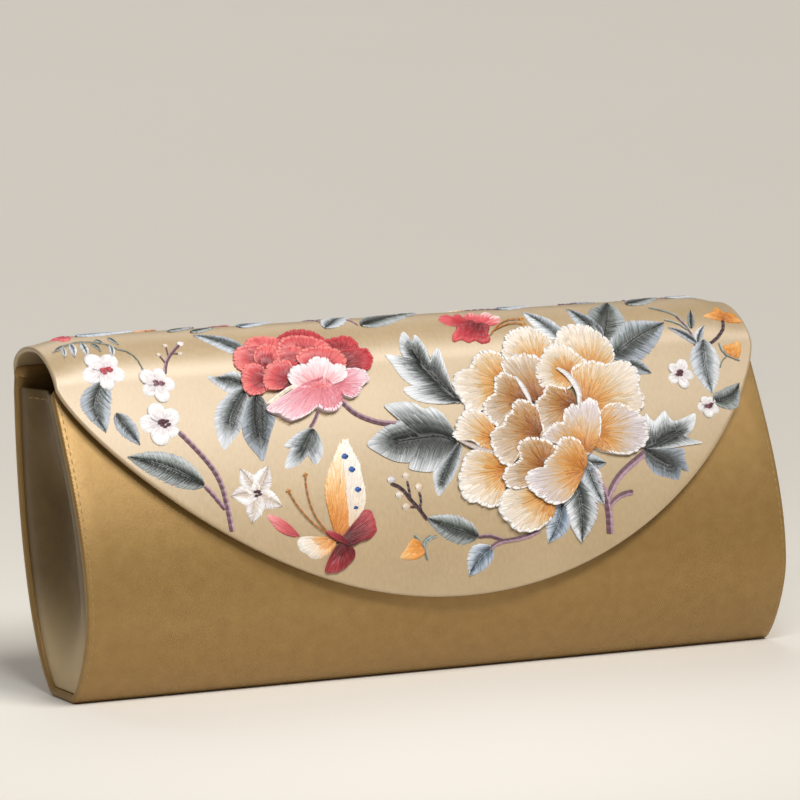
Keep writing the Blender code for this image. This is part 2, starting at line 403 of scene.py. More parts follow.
def sewn_piece(name, rows, mat):
    """Makes one mesh of several sewn rows, each (path, normals)."""
    vertices, faces, total = [], [], 0
    for path, out in rows:
        row_vertices, row_faces = sewn_row(path, out)
        vertices.append(row_vertices)
        faces.append(row_faces + total)
        total += len(row_vertices)
    ob = placed(name, new_mesh(name, np.vstack(vertices).tolist(), np.vstack(faces).tolist(), mat))
    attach(ob, "root")


# Polyester thread: two plies twisted together, with a soft gleam and a light and dark beat
# along each stitch.
sewing_thread, shader = new_material("gold_polyester_thread")
plies = add_node(sewing_thread, "ShaderNodeTexNoise", Scale=1500.0, Detail=2.0)
tone = add_node(sewing_thread, "ShaderNodeMix", BLEND, Factor=(plies, "Fac"), A="#77592C", B="#B2935A")
feed(sewing_thread, shader, Base_Color=(tone, "Result"), Roughness=0.45, Sheen_Weight=0.2)

end_rows = []
for side in (-1, 1):
    x = np.full(len(outline), side * (WIDTH / 2 - STITCH_INSET))
    path = np.stack([x, outline[:, 0], outline[:, 1]], 1)
    out = np.stack([0 * x, away[:, 0], away[:, 1]], 1)
    on_base = np.flatnonzero(path[:, 2] < STITCH_WIDTH)
    for part in (slice(0, on_base[0]), slice(on_base[-1] + 1, None)):
        end_rows.append((path[part], out[part]))
sewn_piece("end_stitching", end_rows, sewing_thread)


# The flap. A second card, covered with a finer satin in ivory gold, is sewn to the back
# panel's top edge, rolls over the mouth and hangs down the front to a low rounded tip. Its
# turned edge is plain, and its cloth is drawn tight.

SEAT_GAP = 0.3 * MM
CREST_HEIGHT = 112 * MM
SEAM_STAND = 2 * MM             # straight stretch above the seam on the back
CREST_SETBACK = 15.8 * MM
FLAP_DROP = 77 * MM             # corner to tip, measured along the front panel
TIP_SHIFT = 5.5 * MM
CORNER_REACH = 1.5 * MM
OUTLINE_POWER = 0.77
END_DIP = 2.3 * MM              # the roll is drawn down at its two ends
END_DIP_RUN = 14 * MM
ROUND_HANDLE = 0.552
CREST_FRONT_HANDLE = 0.44
ROLL_STEPS = 24
FLAP_COLUMNS = 120
FLAP_ROWS = 40


def roll_outline(crest_height, lip):
    """Outer face of the roll, from the seam on the back over the crest to the mouth line."""
    seam = np.array((BACK_FACE, BACK_HEIGHT + SEAT_GAP))
    stand = seam + (0, SEAM_STAND)
    crest = np.array((BACK_FACE - CREST_SETBACK, crest_height))
    rise, fall = crest[1] - stand[1], crest[1] - lip[1]
    lean = np.array((math.sin(FRONT_LEAN), math.cos(FRONT_LEAN))) * ROUND_HANDLE * fall
    level = -CREST_FRONT_HANDLE * (crest[0] - lip[0])
    back = span(stand, (0, ROUND_HANDLE * rise), (ROUND_HANDLE * CREST_SETBACK, 0), crest, ROLL_STEPS)
    front = span(crest, (level, 0), lean, lip, ROLL_STEPS)
    return np.vstack([[seam], back, front[1:]])


panel = front_outline()
flap_panel = panel + facing(panel) * (FLAP_GAP + FLAP_WALL)
level_roll = roll_outline(CREST_HEIGHT, flap_panel[0])
dipped_roll = roll_outline(CREST_HEIGHT - END_DIP, flap_panel[0])
FLAP_PROFILE = np.vstack([level_roll, flap_panel[1:]])
FLAP_DIP = np.vstack([dipped_roll - level_roll, np.zeros_like(flap_panel[1:])])
FLAP_FACING = -facing(FLAP_PROFILE[::-1])[::-1]
DOWN = arc_lengths(FLAP_PROFILE)
DOWN -= DOWN[len(level_roll) - 1]     # zero at the mouth line, negative over the roll


def flap_surface(x, down, lift=0.0):
    """Points that stand `lift` off the flap's face, at x along the purse and `down` from the mouth line."""
    near_end = np.clip((WIDTH / 2 - np.abs(x)) / END_DIP_RUN, 0, 1)
    dip = 1 - near_end * near_end * (3 - 2 * near_end)
    y, z = (
        np.interp(down, DOWN, FLAP_PROFILE[:, i])
        + dip * np.interp(down, DOWN, FLAP_DIP[:, i])
        + lift * np.interp(down, DOWN, FLAP_FACING[:, i])
        for i in (0, 1)
    )
    return np.stack(np.broadcast_arrays(x, y, z), -1)


def flap_reach(x):
    """How far down the flap's edge hangs at x."""
    across = x / (WIDTH / 2)
    across = across - TIP_SHIFT / (WIDTH / 2) * (1 - across * across)
    return CORNER_REACH + FLAP_DROP * np.clip(1 - across * across, 0, 1) ** OUTLINE_POWER


# Duchess satin: its floats are too fine to see as lines, so it reads as a smooth, slightly
# grained cloth with a broad gleam. The grain is drawn at 0.5 mm to show.
GRAIN = 0.5 * MM
duchess_satin, shader = new_material("ivory_duchess_satin")
cloth_uv = add_node(duchess_satin, "ShaderNodeUVMap", {"uv_map": "cloth"})
long_grain = add_node(duchess_satin, "ShaderNodeMapping", Vector=(cloth_uv, "UV"), Scale=(1, 0.45, 1))
grain = add_node(
    duchess_satin, "ShaderNodeTexNoise", Vector=(long_grain, "Vector"), Scale=0.5 / GRAIN, Detail=3.0
)
drift = add_node(duchess_satin, "ShaderNodeTexNoise", Vector=(cloth_uv, "UV"), Scale=45.0, Detail=2.0)
tone = add_node(duchess_satin, "ShaderNodeMix", BLEND, Factor=(drift, "Fac"), A="#AC9470", B="#BDA682")
shade = add_node(
    duchess_satin, "ShaderNodeMapRange", Value=(grain, "Fac"),
    From_Min=0.3, From_Max=0.7, To_Min=0.93, To_Max=1.04
)
thread = add_node(
    duchess_satin, "ShaderNodeMix", MULTIPLY, Factor=1.0, A=(tone, "Result"), B=(shade, "Result")
)
gloss = add_node(duchess_satin, "ShaderNodeMapRange", Value=(grain, "Fac"), To_Min=0.33, To_Max=0.45)
weave = add_node(
    duchess_satin, "ShaderNodeBump", Strength=0.25, Distance=0.08 * MM, Height=(grain, "Fac")
)
feed(
    duchess_satin, shader, Base_Color=(thread, "Result"), Roughness=(gloss, "Result"),
    Normal=(weave, "Normal"), IOR=1.9, Metallic=0.04,
    Sheen_Weight=0.2, Sheen_Roughness=0.35, Sheen_Tint="#FFF4E6"
)

turn = np.linspace(-math.pi / 2, math.pi / 2, FLAP_COLUMNS + 1)[:, None]
reach = flap_reach(WIDTH / 2 * np.sin(turn)) - TURNED_EDGE
x = (WIDTH / 2 - TURNED_EDGE) * np.sin(turn)
over_roll = np.maximum(DOWN[: len(level_roll)], DOWN[0] + TURNED_EDGE)[None, :] + 0 * x
down = np.hstack([over_roll, reach * np.linspace(0, 1, FLAP_ROWS + 1)[None, 1:]])
x = x + 0 * down
grid = flap_surface(x, down)
normals = flap_surface(x, down, 1.0) - grid
flap = covered_card(
    "flap_cloth", grid, normals, np.stack([x, down], -1), FLAP_WALL, TURNED_EDGE, duchess_satin
)
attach(flap, "root")
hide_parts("flap")


# The back seam. A narrow bound welt of the gold satin closes the edge where the flap is sewn
# to the back panel, so neither card shows its end. It runs from end to end of the purse.

WELT_PROUD = 0.3 * MM
WELT_HEIGHT = 4.6 * MM
WELT_INSET = 0.4 * MM           # flap's end to the welt's last full section
WELT_TIP = 0.3 * MM             # rounded end beyond it
WELT_DRAWN_IN = 0.8
WELT_SQUARENESS = 0.6           # 1 is round, 0 is square
WELT_COLUMNS = 60
WELT_SIDES = 28
turns = np.linspace(0, 2 * math.pi, WELT_SIDES, endpoint=False)
squared = [np.sign(s) * np.abs(s) ** WELT_SQUARENESS for s in (np.cos(turns), np.sin(turns))]
thickness = WRAP_WALL + 2 * WELT_PROUD
section = np.stack(squared, 1) * (thickness / 2, WELT_HEIGHT / 2)
section += (BACK_FACE + WELT_PROUD - thickness / 2, BACK_HEIGHT + SEAT_GAP / 2)
stations = np.linspace(WELT_INSET - WIDTH / 2, WIDTH / 2 - WELT_INSET, WELT_COLUMNS + 1)
middle = section.mean(0)
vertices = [(stations[0] - WELT_TIP, *middle)]
for i, x in enumerate(stations):
    drawn_in = WELT_DRAWN_IN if i in (0, WELT_COLUMNS) else 1.0
    vertices += [(x, *(middle + (point - middle) * drawn_in)) for point in section]
vertices.append((stations[-1] + WELT_TIP, *middle))
faces = []
for j in range(WELT_SIDES):
    following = (j + 1) % WELT_SIDES
    faces.append((0, 1 + following, 1 + j))
    for i in range(WELT_COLUMNS):
        a, b = 1 + i * WELT_SIDES, 1 + (i + 1) * WELT_SIDES
        faces.append((a + j, a + following, b + following, b + j))
    a = 1 + WELT_COLUMNS * WELT_SIDES
    faces.append((len(vertices) - 1, a + j, a + following))
vertices = [tuple(map(float, v)) for v in vertices]
welt_mesh = new_mesh("back_seam_welt", vertices, faces, twill_satin)
welt_uv = welt_mesh.uv_layers.new(name="cloth")
for loop in welt_mesh.loops:
    point = welt_mesh.vertices[loop.vertex_index].co
    welt_uv.data[loop.index].uv = (point.x, point.z + point.y)
welt = placed("back_seam_welt", welt_mesh)
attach(welt, "root")


# The embroidery. Silk floss, split fine, is worked through the flap's satin. Petals and leaves
# are long and short stitch, raised over a padding of the same floss, and stems are lines of
# stem stitch. The picture is a traditional one: peonies and plum blossom with a butterfly.

STRAND = 0.5 * MM               # a real strand is 0.2 mm; drawn wide enough to show, under 2 pixels
STRAND_RISE = 0.26 * MM         # crown of a strand over its padding
LAYER_RISE = 0.32 * MM          # each layer of petals lies this much above the one below
PADDING = 0.4 * MM              # petal's crown over its own edge
LONG_STITCH = 5 * MM
STEM_STITCH = 2.2 * MM
STATIONS = 5                    # points along a stitch
STRAND_TAPER = np.array([0.5, 0.95, 1, 0.95, 0.5])      # width at each station, as a share
STRAND_CROWN = np.array([-0.2, 0.9, 1, 0.9, -0.2])      # and height, as a share of its rise
STRAND_FOOT = 0.25              # how far its flanks reach under the padding, as the same share
UNEVEN = 0.12                   # how much strands differ in height, as the same share
EDGE_PITCH = 0.8 * STRAND       # between the stitches along a petal's edge
PAD_PITCH = 1.2 * MM            # between points round a padding
UNDER_CLOTH = -0.1 * MM         # level at which a padding starts
SCALLOP = 3.4 * MM              # pitch of the ruffles along a peony petal's edge
OVERLAP = 0.25                  # of a stem stitch over the next one
CURVE_STEPS = 12                # between two given points of an outline
SPOT_POINTS = 12
NO_LENGTH = 1e-7                # metres, so that no stitch is divided by zero
MISS = 0.01                     # how far past the end of an edge a sight line still meets it
silk = np.random.default_rng(11)
pixel = SENSOR / FRAME_PIXELS
sight = np.array(camera_place)
ahead, right, upward = (np.array(camera_turn @ Vector(v)) for v in ((0, 0, -1), (1, 0, 0), (0, 1, 0)))


def on_cloth(spots):
    """Where sight lines through pixels (u, v) of the photograph meet the flap: (x, down) on its cloth."""
    spots = np.atleast_2d(np.asarray(spots, float))
    aside, above = (spots[:, :1] - FRAME_PIXELS / 2) * pixel, (FRAME_PIXELS / 2 - spots[:, 1:]) * pixel
    rays = ahead * LENS + aside * right + above * upward
    start, edge = FLAP_PROFILE[:-1], np.diff(FLAP_PROFILE, axis=0)
    gap = start - sight[1:]
    turned = rays[:, None, 1] * edge[None, :, 1] - rays[:, None, 2] * edge[None, :, 0]
    reach = (gap[:, 0] * edge[:, 1] - gap[:, 1] * edge[:, 0])[None] / turned
    share = (gap[None, :, 0] * rays[:, None, 2] - gap[None, :, 1] * rays[:, None, 1]) / turned
    reach[(share < -MISS) | (share > 1 + MISS)] = np.inf
    hit = np.argmin(reach, axis=1)
    row = np.arange(len(spots))
    x = sight[0] + rays[:, 0] * reach[row, hit]
    down = DOWN[hit] + np.clip(share[row, hit], 0, 1) * np.diff(DOWN)[hit]
    return np.stack([x, down], 1)


def rounded(points, spacing, closed=True):
    """Smooth line through the points, with evenly spaced points of its own."""
    if closed:
        points = np.vstack([points[-1], points, points[:2]])
    else:
        points = np.vstack([2 * points[0] - points[1], points, 2 * points[-1] - points[-2]])
    t = np.linspace(0, 1, CURVE_STEPS, endpoint=False)[:, None]
    parts = [
        0.5 * (2 * b + (c - a) * t + (2 * a - 5 * b + 4 * c - d) * t ** 2 + (3 * b - a - 3 * c + d) * t ** 3)
        for a, b, c, d in zip(points, points[1:], points[2:], points[3:])
    ]
    line = np.vstack([*parts, points[-2]])
    run = arc_lengths(line)
    steps = np.linspace(0, run[-1], max(int(run[-1] / spacing), 3) + 1)
    even = columns_at(steps, run, line)
    return even[:-1] if closed else even


def dyed(silks, shares, spread=0.07, lightness=0.07):
    """Linear colours at those shares of the way through a list of dyed silks, each strand a little
    off. shares has a value for each strand, or one for each strand and station along it."""
    stops = np.array([linear(s)[:3] for s in silks])
    strand = (len(shares),) + (1,) * (shares.ndim - 1)
    at = np.clip(shares + silk.normal(0, spread, strand), 0, 1) * (len(stops) - 1)
    colours = columns_at(at, np.arange(len(stops)), stops)
    return colours * silk.normal(1, lightness, strand)[..., None]


strands, paddings = [], []


def lay(starts, ends, heights, colours, width=STRAND):
    """Lays straight stitches between places on the cloth; heights has a value for each station, and
    colours one for each stitch or for each of its stations."""
    t = np.linspace(0, 1, STATIONS)
    spine = starts[:, None] + (ends - starts)[:, None] * t[:, None]
    along = ends - starts
    along /= np.maximum(np.linalg.norm(along, axis=1), NO_LENGTH)[:, None]
    side = np.stack([-along[:, 1], along[:, 0]], 1)[:, None]
    half = (width / 2 * STRAND_TAPER)[:, None]
    heights = heights + silk.normal(0, UNEVEN, (len(starts), 1)) * STRAND_RISE
    colours = colours if colours.ndim == 3 else np.repeat(colours[:, None], STATIONS, axis=1)
    crown = heights + STRAND_RISE * width / STRAND * STRAND_CROWN
    flank = heights - STRAND_FOOT * STRAND_RISE
    strands.append((spine + side * half, flank, spine, crown, spine - side * half, colours))


def pad(outline, root, rings, colours):
    """Padding under a petal: rings that shrink from the outline to the root, each (share, height)."""
    area = np.sum(outline[:, 0] * np.roll(outline[:, 1], -1) - outline[:, 1] * np.roll(outline[:, 0], -1))
    outline = outline if area < 0 else outline[::-1]
    paddings.append(([outline + (root - outline) * s for s, _ in rings], [h for _, h in rings], colours))


def work_piece(name):
    """Makes one mesh of the stitches and padding laid since the last piece."""
    vertices, faces, colours, total = [], [], [], 0
    for left, flank, spine, crown, right_side, dye in strands:
        n = len(spine)
        lines = [
            flap_surface(line[..., 0], line[..., 1], lift)
            for line, lift in ((left, flank), (spine, crown), (right_side, flank))
        ]
        vertices.append(np.stack(lines, 1).reshape(-1, 3))
        colours.append(np.tile(dye, (1, 3, 1)).reshape(-1, 3))
        first = total + np.arange(n)[:, None, None] * 3 * STATIONS
        k = np.arange(STATIONS - 1)[None, :, None]
        for a, b in ((0, STATIONS), (STATIONS, 2 * STATIONS)):
            quad = np.array([a, a + 1, b + 1, b])[None, None]
            faces.append((first + k + quad).reshape(-1, 4))
        total += n * 3 * STATIONS
    for rings, lifts, dyes in paddings:
        n = len(rings[0])
        vertices.append(np.vstack([flap_surface(r[:, 0], r[:, 1], h) for r, h in zip(rings, lifts)]))
        colours.append(np.repeat(dyes, n, axis=0))
        around = np.arange(n)
        for k in range(len(rings) - 1):
            a, b = total + k * n + around, total + (k + 1) * n + around
            faces.append(np.stack([a, np.roll(a, -1), np.roll(b, -1), b], -1))
        total += n * len(rings)
    strands.clear()
    paddings.clear()
    mesh = new_mesh(name, np.vstack(vertices).tolist(), np.vstack(faces).tolist(), silk_floss)
    dye = mesh.color_attributes.new("dye", "FLOAT_COLOR", "POINT")
    shown = np.hstack([np.clip(np.vstack(colours), 0, 1), np.ones((total, 1))])
    dye.data.foreach_set("color", shown.astype(np.float32).ravel())
    ob = placed(name, mesh)
    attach(ob, "root")


PETAL_SECTION = ((0, 0.06, 0.16, 0.45, 1), (0.15, 0.75, 1, 0.7, 0.15))  # shares of the way in, of the rise
PETAL_RINGS = (0.02, 0.06, 0.16, 0.4, 0.7, 0.97)
PAD_SUNK = 0.05 * MM            # padding's level under the strands' own
PAD_PAINTED_SHADE = 0.8                 # padding's colour against the strands': painted shade in the gaps between them
GOLDEN = 0.618                  # thins out a row of stitches evenly
ROW_START = (-0.2, 0.02)        # how far the stitches of a row start off its line, as shares of the way in
ROW_END = (-0.14, 0.12)
ROOT_END = 0.97
ROW_DENSITY = 1.25              # of the first row, as a share of the edge's points; each next has fewer
DYE_ALONG = 0.6                 # how much of a petal's shading each stitch shows along its length
BARE_ROOT = 0.12                # no stitch starts nearer to the root than this share of the petal
FRINGE_FROM = 0.42              # and no fringe nearer than this
FRINGE = (0.7, 1.7)             # length of its stitches, in millimetres
FRINGE_DENSITY = 0.8
FRINGE_WIDTH = 0.8 * STRAND
FRINGE_OUT = 0.15 * MM          # past the petal's edge
FRINGE_SEAT = 0.08              # share of the way in at which the padding carries it
FRINGE_LIFT = 0.06 * MM


def stations_of(begin, finish):
    """Share of the way in, at each station of stitches that run from begin to finish."""
    return begin[:, None] + (finish - begin)[:, None] * np.linspace(0, 1, STATIONS)


def petal_height(share, layer, rise=PADDING):
    """Height of a petal's padding, from its edge at share 0 to its root at 1."""
    return (layer - 1) * LAYER_RISE + rise * np.interp(share, *PETAL_SECTION)


def petal(outline, root, silks, layer=1, rise=PADDING, rim=None, scallops=0.0):
    """Works one petal: long and short stitches that run from its edge towards its root. rim is the
    silk of a fringe along the edge, pale silk that is partly a painted highlight along it, and
    scallops the depth of its ruffles."""
    edge = rounded(outline, EDGE_PITCH)
    span_to_root = np.linalg.norm(root - edge, axis=1)
    longest = span_to_root.max()
    wave = np.abs(np.sin(np.arange(len(edge)) * EDGE_PITCH * math.pi / SCALLOP + silk.uniform(0, 3)))
    ruffle = scallops * np.clip(span_to_root / longest * 2 - 0.8, 0, 1) * (wave - 0.5)
    edge = edge + (edge - root) / span_to_root[:, None] * ruffle[:, None]
    span_to_root = np.linalg.norm(root - edge, axis=1)
    rings = [(0, UNDER_CLOTH)] + [(s, petal_height(s, layer, rise) - PAD_SUNK) for s in PETAL_RINGS]
    # The padding's rings take the petal's silks, darkened as painted shade for the gaps between strands.
    under = dyed(silks, np.array([share for share, _ in rings]), 0.0) * PAD_PAINTED_SHADE
    pad(rounded(outline, PAD_PITCH), root, rings, under)
    rows = max(int(round(longest / LONG_STITCH)), 2)
    order = (np.arange(len(edge)) * GOLDEN) % 1
    for r in range(rows):
        begin = r / rows + (r > 0) * silk.uniform(*ROW_START, len(edge))
        finish = np.minimum((r + 1) / rows + silk.uniform(*ROW_END, len(edge)), ROOT_END)
        kept = (order < ROW_DENSITY * (1 - r / rows)) & (span_to_root > BARE_ROOT * longest)
        begin, finish = begin[kept], finish[kept]
        toward = (root - edge)[kept]
        shares = stations_of(begin, finish)
        depth = span_to_root[kept] / longest
        blended = DYE_ALONG * shares + (1 - DYE_ALONG) / 2 * (begin + finish)[:, None]
        lay(
            edge[kept] + toward * begin[:, None],
            edge[kept] + toward * finish[:, None],
            petal_height(shares, layer, rise),
            dyed(silks, 1 - (1 - blended) * depth[:, None]),
        )
    # The fringe's pale silk is partly a painted highlight, where the petal's edge catches the light.
    if rim:
        pick = (span_to_root > FRINGE_FROM * longest) & (order < FRINGE_DENSITY)
        count = pick.sum()
        toward = (root - edge)[pick] / span_to_root[pick][:, None]
        fringe = silk.uniform(*FRINGE, (count, 1)) * MM
        lay(
            edge[pick] - toward * FRINGE_OUT,
            edge[pick] + toward * fringe,
            np.full((count, STATIONS), petal_height(FRINGE_SEAT, layer, rise) + FRINGE_LIFT),
            dyed([rim, rim], np.zeros(count), 0),
            FRINGE_WIDTH,
        )


def sideways(line):
    """Unit directions on the cloth, square to a line."""
    along = np.gradient(line, axis=0)
    return unit(np.stack([-along[:, 1], along[:, 0]], 1))


def run_of_stitches(line, width, silks, height=0.0):
    """One line of stitches, each overlapping the next, as in stem stitch."""
    starts, ends = line[:-1], line[1:] + OVERLAP * (line[1:] - line[:-1])
    level = np.full((len(starts), STATIONS), height)
    lay(starts, ends, level, dyed(silks, np.linspace(0, 1, len(starts))), width)


LEAF_OUTLINE = (
    # share of the length, share of the half width
    (0.00, 0.10),
    (0.08, 0.50),
    (0.20, 0.83),
    (0.35, 1.00),
    (0.50, 0.98),
    (0.65, 0.84),
    (0.80, 0.58),
    (0.92, 0.27),
    (1.00, 0.00),
)
LEAF_SECTION = ((0, 0.25, 0.6, 1), (0.1, 0.75, 0.9, 0.3))       # shares of the way in, of PADDING
LEAF_DENSITY = 1.5              # stitches for each strand's width along a side
BLADE_SLANT = 0.75              # how far back a stitch meets the midrib, as a share of the half width
VEIN_END = 0.82


def leaf_rings(floor):
    """Rings of the padding under a leaf that lies on that level."""
    crown = floor + 0.5 * PADDING
    return [(0, UNDER_CLOTH), (0.06, floor), (0.5, crown), (0.96, crown)]


def leaf(base, tip, width, bend, halves, layer=1, vein="#1E2320"):
    """Works one leaf: stitches slant from its two edges back to the midrib, and its silks darken
    the same way. halves has the silks to the left and right of it."""
    length = np.linalg.norm(tip - base)
    along = (tip - base) / length
    left = np.array([along[1], -along[0]])
    floor = (layer - 1) * LAYER_RISE

    def on_midrib(t):
        """Points at those shares of the leaf's length."""
        return base + along * (t * length)[:, None] + left * (bend * np.sin(math.pi * t))[:, None]

    t, share = np.array(LEAF_OUTLINE).T
    middle = on_midrib(t)
    flank = left * (0.45 * width * share)[:, None]
    under = dyed([silks[1] for silks in halves], np.array([0.0, 0.3, 0.6, 1.0]), 0, 0)
    pad(np.vstack([middle + flank, (middle - flank)[-2::-1]]), middle[4], leaf_rings(floor), under)
    for side, silks in zip((1, -1), halves):
        t = np.linspace(0.02, 0.99, int(length * LEAF_DENSITY / STRAND))
        rough = 1 + 0.04 * silk.standard_normal(len(t))
        half = width / 2 * np.interp(t, *np.array(LEAF_OUTLINE).T) * rough
        edge = on_midrib(t) + side * left * half[:, None]
        toward = on_midrib(np.clip(t - BLADE_SLANT * half / length, 0, 1)) - edge
        split = 0.5 + silk.uniform(-0.12, 0.12, len(t))
        for begin, finish in ((np.zeros(len(t)), split + 0.1), (split - 0.15, np.ones(len(t)))):
            shares = stations_of(begin, finish)
            lay(
                edge + toward * begin[:, None],
                edge + toward * finish[:, None],
                floor + PADDING * np.interp(shares, *LEAF_SECTION),
                dyed(silks, 1.35 * shares ** 1.7 - 0.12 * t[:, None] + 0.03, 0.1),
            )
    t = np.linspace(0, VEIN_END, max(int(length / STEM_STITCH), 2))
    run_of_stitches(on_midrib(t), 0.85 * STRAND, [vein, vein], floor + 0.6 * PADDING)


def stem(points, width, silks, layer=1):
    """Lines of stem stitch side by side, the light silk along one flank and the dark along the other."""
    line = rounded(on_cloth(points), STEM_STITCH, closed=False)
    side = sideways(line)
    lines = max(int(round(width / (0.75 * STRAND))), 1)
    for i in range(lines):
        share = (i + 0.5) / lines - 0.5
        crown = 0.25 * PADDING + 0.5 * PADDING * (1 - (2 * share) ** 2)
        floss = silks[0] if share < 0 else silks[-1]
        run_of_stitches(line + side * share * width, STRAND, [floss, floss], (layer - 1) * LAYER_RISE + crown)


SPOT_SECTION = np.array([0.3, 0.9, 1.1, 0.9, 0.3])      # height across it, as a share of PADDING


def spot(centre, radius, silks, layer=1):
    """Small round pad in satin stitch: a berry, a stamen or a wing's eye."""
    turns = np.linspace(0, 2 * math.pi, SPOT_POINTS, endpoint=False)
    outline = centre + radius * np.stack([np.cos(turns), np.sin(turns)], 1)
    floor = (layer - 1) * LAYER_RISE
    rings = [(0, UNDER_CLOTH), (0.1, floor + 0.3 * PADDING), (0.95, floor + 0.9 * PADDING)]
    pad(outline, centre, rings, dyed(silks, np.array([0, 0, 1.0]), 0))
    across = np.linspace(-0.85, 0.85, max(int(2 * radius / EDGE_PITCH), 2)) * radius
    reach = np.sqrt(radius ** 2 - across ** 2)
    heights = np.full((len(across), 1), floor) + PADDING * SPOT_SECTION
    lay(
        centre + np.stack([across, -reach], 1),
        centre + np.stack([across, reach], 1),
        heights,
        dyed(silks, np.linspace(0, 1, len(across))),
    )


# Silk floss: untwisted filament silk, so each stitch gleams along its length. The dye is
# carried by the mesh, strand by strand, and the filaments show as a fine mottle in the dye
# and the gloss.
silk_floss, shader = new_material("silk_floss")
dye = add_node(silk_floss, "ShaderNodeVertexColor", {"layer_name": "dye"})
filaments = add_node(silk_floss, "ShaderNodeTexNoise", Scale=1400.0, Detail=2.0)
shade = add_node(silk_floss, "ShaderNodeMapRange", Value=(filaments, "Fac"), To_Min=0.74, To_Max=0.96)
thread = add_node(
    silk_floss, "ShaderNodeMix", MULTIPLY, Factor=1.0, A=(dye, "Color"), B=(shade, "Result")
)
gloss = add_node(silk_floss, "ShaderNodeMapRange", Value=(filaments, "Fac"), To_Min=0.34, To_Max=0.5)
feed(
    silk_floss, shader, Base_Color=(thread, "Result"), Roughness=(gloss, "Result"),
    IOR=1.54, Sheen_Weight=0.2, Sheen_Roughness=0.4
)


# The great peony. Sixteen petals of cream silk, each shaded to orange at its root, overlap
# towards the low right. The front ones are edged with lilac white, and three petal edges
# turn over to show their white backs. Outlines and roots are pixels of the photograph.

PETAL_SILKS = {
    "cream": ("#FFFBF6", "#EEE1D3", "#E5D5C0", "#DEBE8E", "#D99F50", "#CA802A", "#A65E14"),
    "amber": ("#EDE0D4", "#D0BDAA", "#C6AC8E", "#BC9058", "#AE7232", "#94541A", "#6C3C0C"),
    "lilac": ("#F8F4F9", "#DCD1D5", "#D6C8C2", "#D6B68E", "#D99E4E", "#C87E2E", "#A25E16"),
}
GREAT_PEONY = (
    # silks, layer, root, outline
    ("cream", 1, (536, 364), (
        (503, 357), (503, 346), (507, 335), (516, 330), (528, 328), (541, 333), (550, 341), (548, 352),
        (540, 360), (520, 362))),
    ("cream", 1, (590, 372), (
        (555, 349), (556, 336), (561, 329), (571, 326), (584, 326), (596, 332), (606, 340), (613, 351),
        (611, 362), (590, 370), (570, 362))),
    ("cream", 1, (507, 386), (
        (503, 359), (493, 352), (481, 352), (473, 359), (469, 368), (457, 373), (452, 383), (456, 393),
        (462, 402), (467, 411), (478, 412), (490, 405), (498, 392), (503, 375))),
    ("amber", 2, (538, 400), (
        (501, 362), (509, 358), (520, 355), (531, 356), (540, 361), (543, 378), (544, 396), (534, 403),
        (523, 393), (513, 380), (503, 373))),
    ("cream", 2.5, (566, 374), (
        (541, 357), (545, 349), (556, 345), (568, 349), (577, 356), (585, 363), (576, 372), (570, 388),
        (557, 391), (545, 391), (537, 382), (535, 369))),
    ("cream", 2.7, (584, 406), (
        (570, 374), (575, 366), (590, 362), (605, 365), (621, 362), (632, 367), (638, 378), (637, 388),
        (642, 397), (642, 406), (636, 413), (622, 411), (605, 412), (590, 410), (580, 404), (579, 392))),
    ("cream", 2, (494, 439), (
        (456, 424), (461, 415), (470, 410), (480, 413), (488, 420), (494, 428), (495, 442), (491, 452),
        (480, 448), (470, 441), (458, 441), (452, 437), (455, 430))),
    ("cream", 2, (508, 470), (
        (463, 459), (470, 452), (481, 451), (492, 454), (503, 464), (509, 472), (505, 482), (503, 492),
        (500, 502), (495, 507), (485, 507), (477, 503), (468, 502), (462, 496), (459, 487), (458, 477),
        (461, 468))),
    ("amber", 3, (522, 402), (
        (493, 386), (494, 379), (501, 374), (510, 377), (517, 382), (523, 394), (528, 405), (515, 408),
        (508, 417), (502, 428), (494, 427), (487, 420), (482, 410), (484, 402), (492, 395))),
    ("amber", 3, (569, 407), (
        (542, 393), (546, 386), (553, 387), (560, 389), (569, 392), (574, 402), (571, 412), (562, 425),
        (550, 429), (543, 434), (538, 425), (535, 413), (535, 402), (541, 397))),
    ("lilac", 3, (593, 432), (
        (598, 414), (606, 406), (617, 404), (627, 408), (637, 414), (644, 421), (647, 431), (645, 443),
        (638, 450), (627, 455), (612, 454), (599, 451), (592, 444), (592, 424))),
    ("cream", 3, (549, 494), (
        (503, 492), (512, 488), (524, 486), (536, 486), (550, 494), (554, 507), (552, 516), (546, 523),
        (536, 530), (525, 532), (514, 530), (508, 523), (501, 517), (498, 509), (499, 500))),
    ("lilac", 4, (583, 452), (
        (540, 441), (545, 432), (552, 425), (561, 423), (562, 414), (569, 407), (578, 406), (585, 401),
        (592, 401), (597, 409), (599, 425), (597, 440), (591, 451), (585, 457), (572, 448), (556, 444))),
    ("amber", 4, (538, 436), (
        (509, 413), (512, 404), (520, 401), (528, 404), (535, 409), (538, 421), (541, 434), (538, 443),
        (524, 446), (516, 456), (508, 467), (500, 464), (494, 457), (490, 447), (489, 436), (494, 430),
        (501, 427), (503, 419))),
    ("amber", 5, (545, 470), (
        (515, 449), (520, 442), (530, 439), (540, 441), (547, 443), (554, 450), (556, 462), (548, 474),
        (534, 480), (524, 488), (512, 490), (504, 486), (501, 477), (505, 469), (513, 465), (518, 458))),
    ("lilac", 6, (582, 472), (
        (551, 455), (554, 446), (559, 440), (567, 439), (574, 441), (580, 447), (584, 457), (584, 466),
        (579, 477), (574, 488), (568, 498), (560, 504), (549, 505), (540, 500), (531, 494), (525, 487),
        (523, 479), (527, 473), (535, 470), (541, 469), (543, 462))),
)
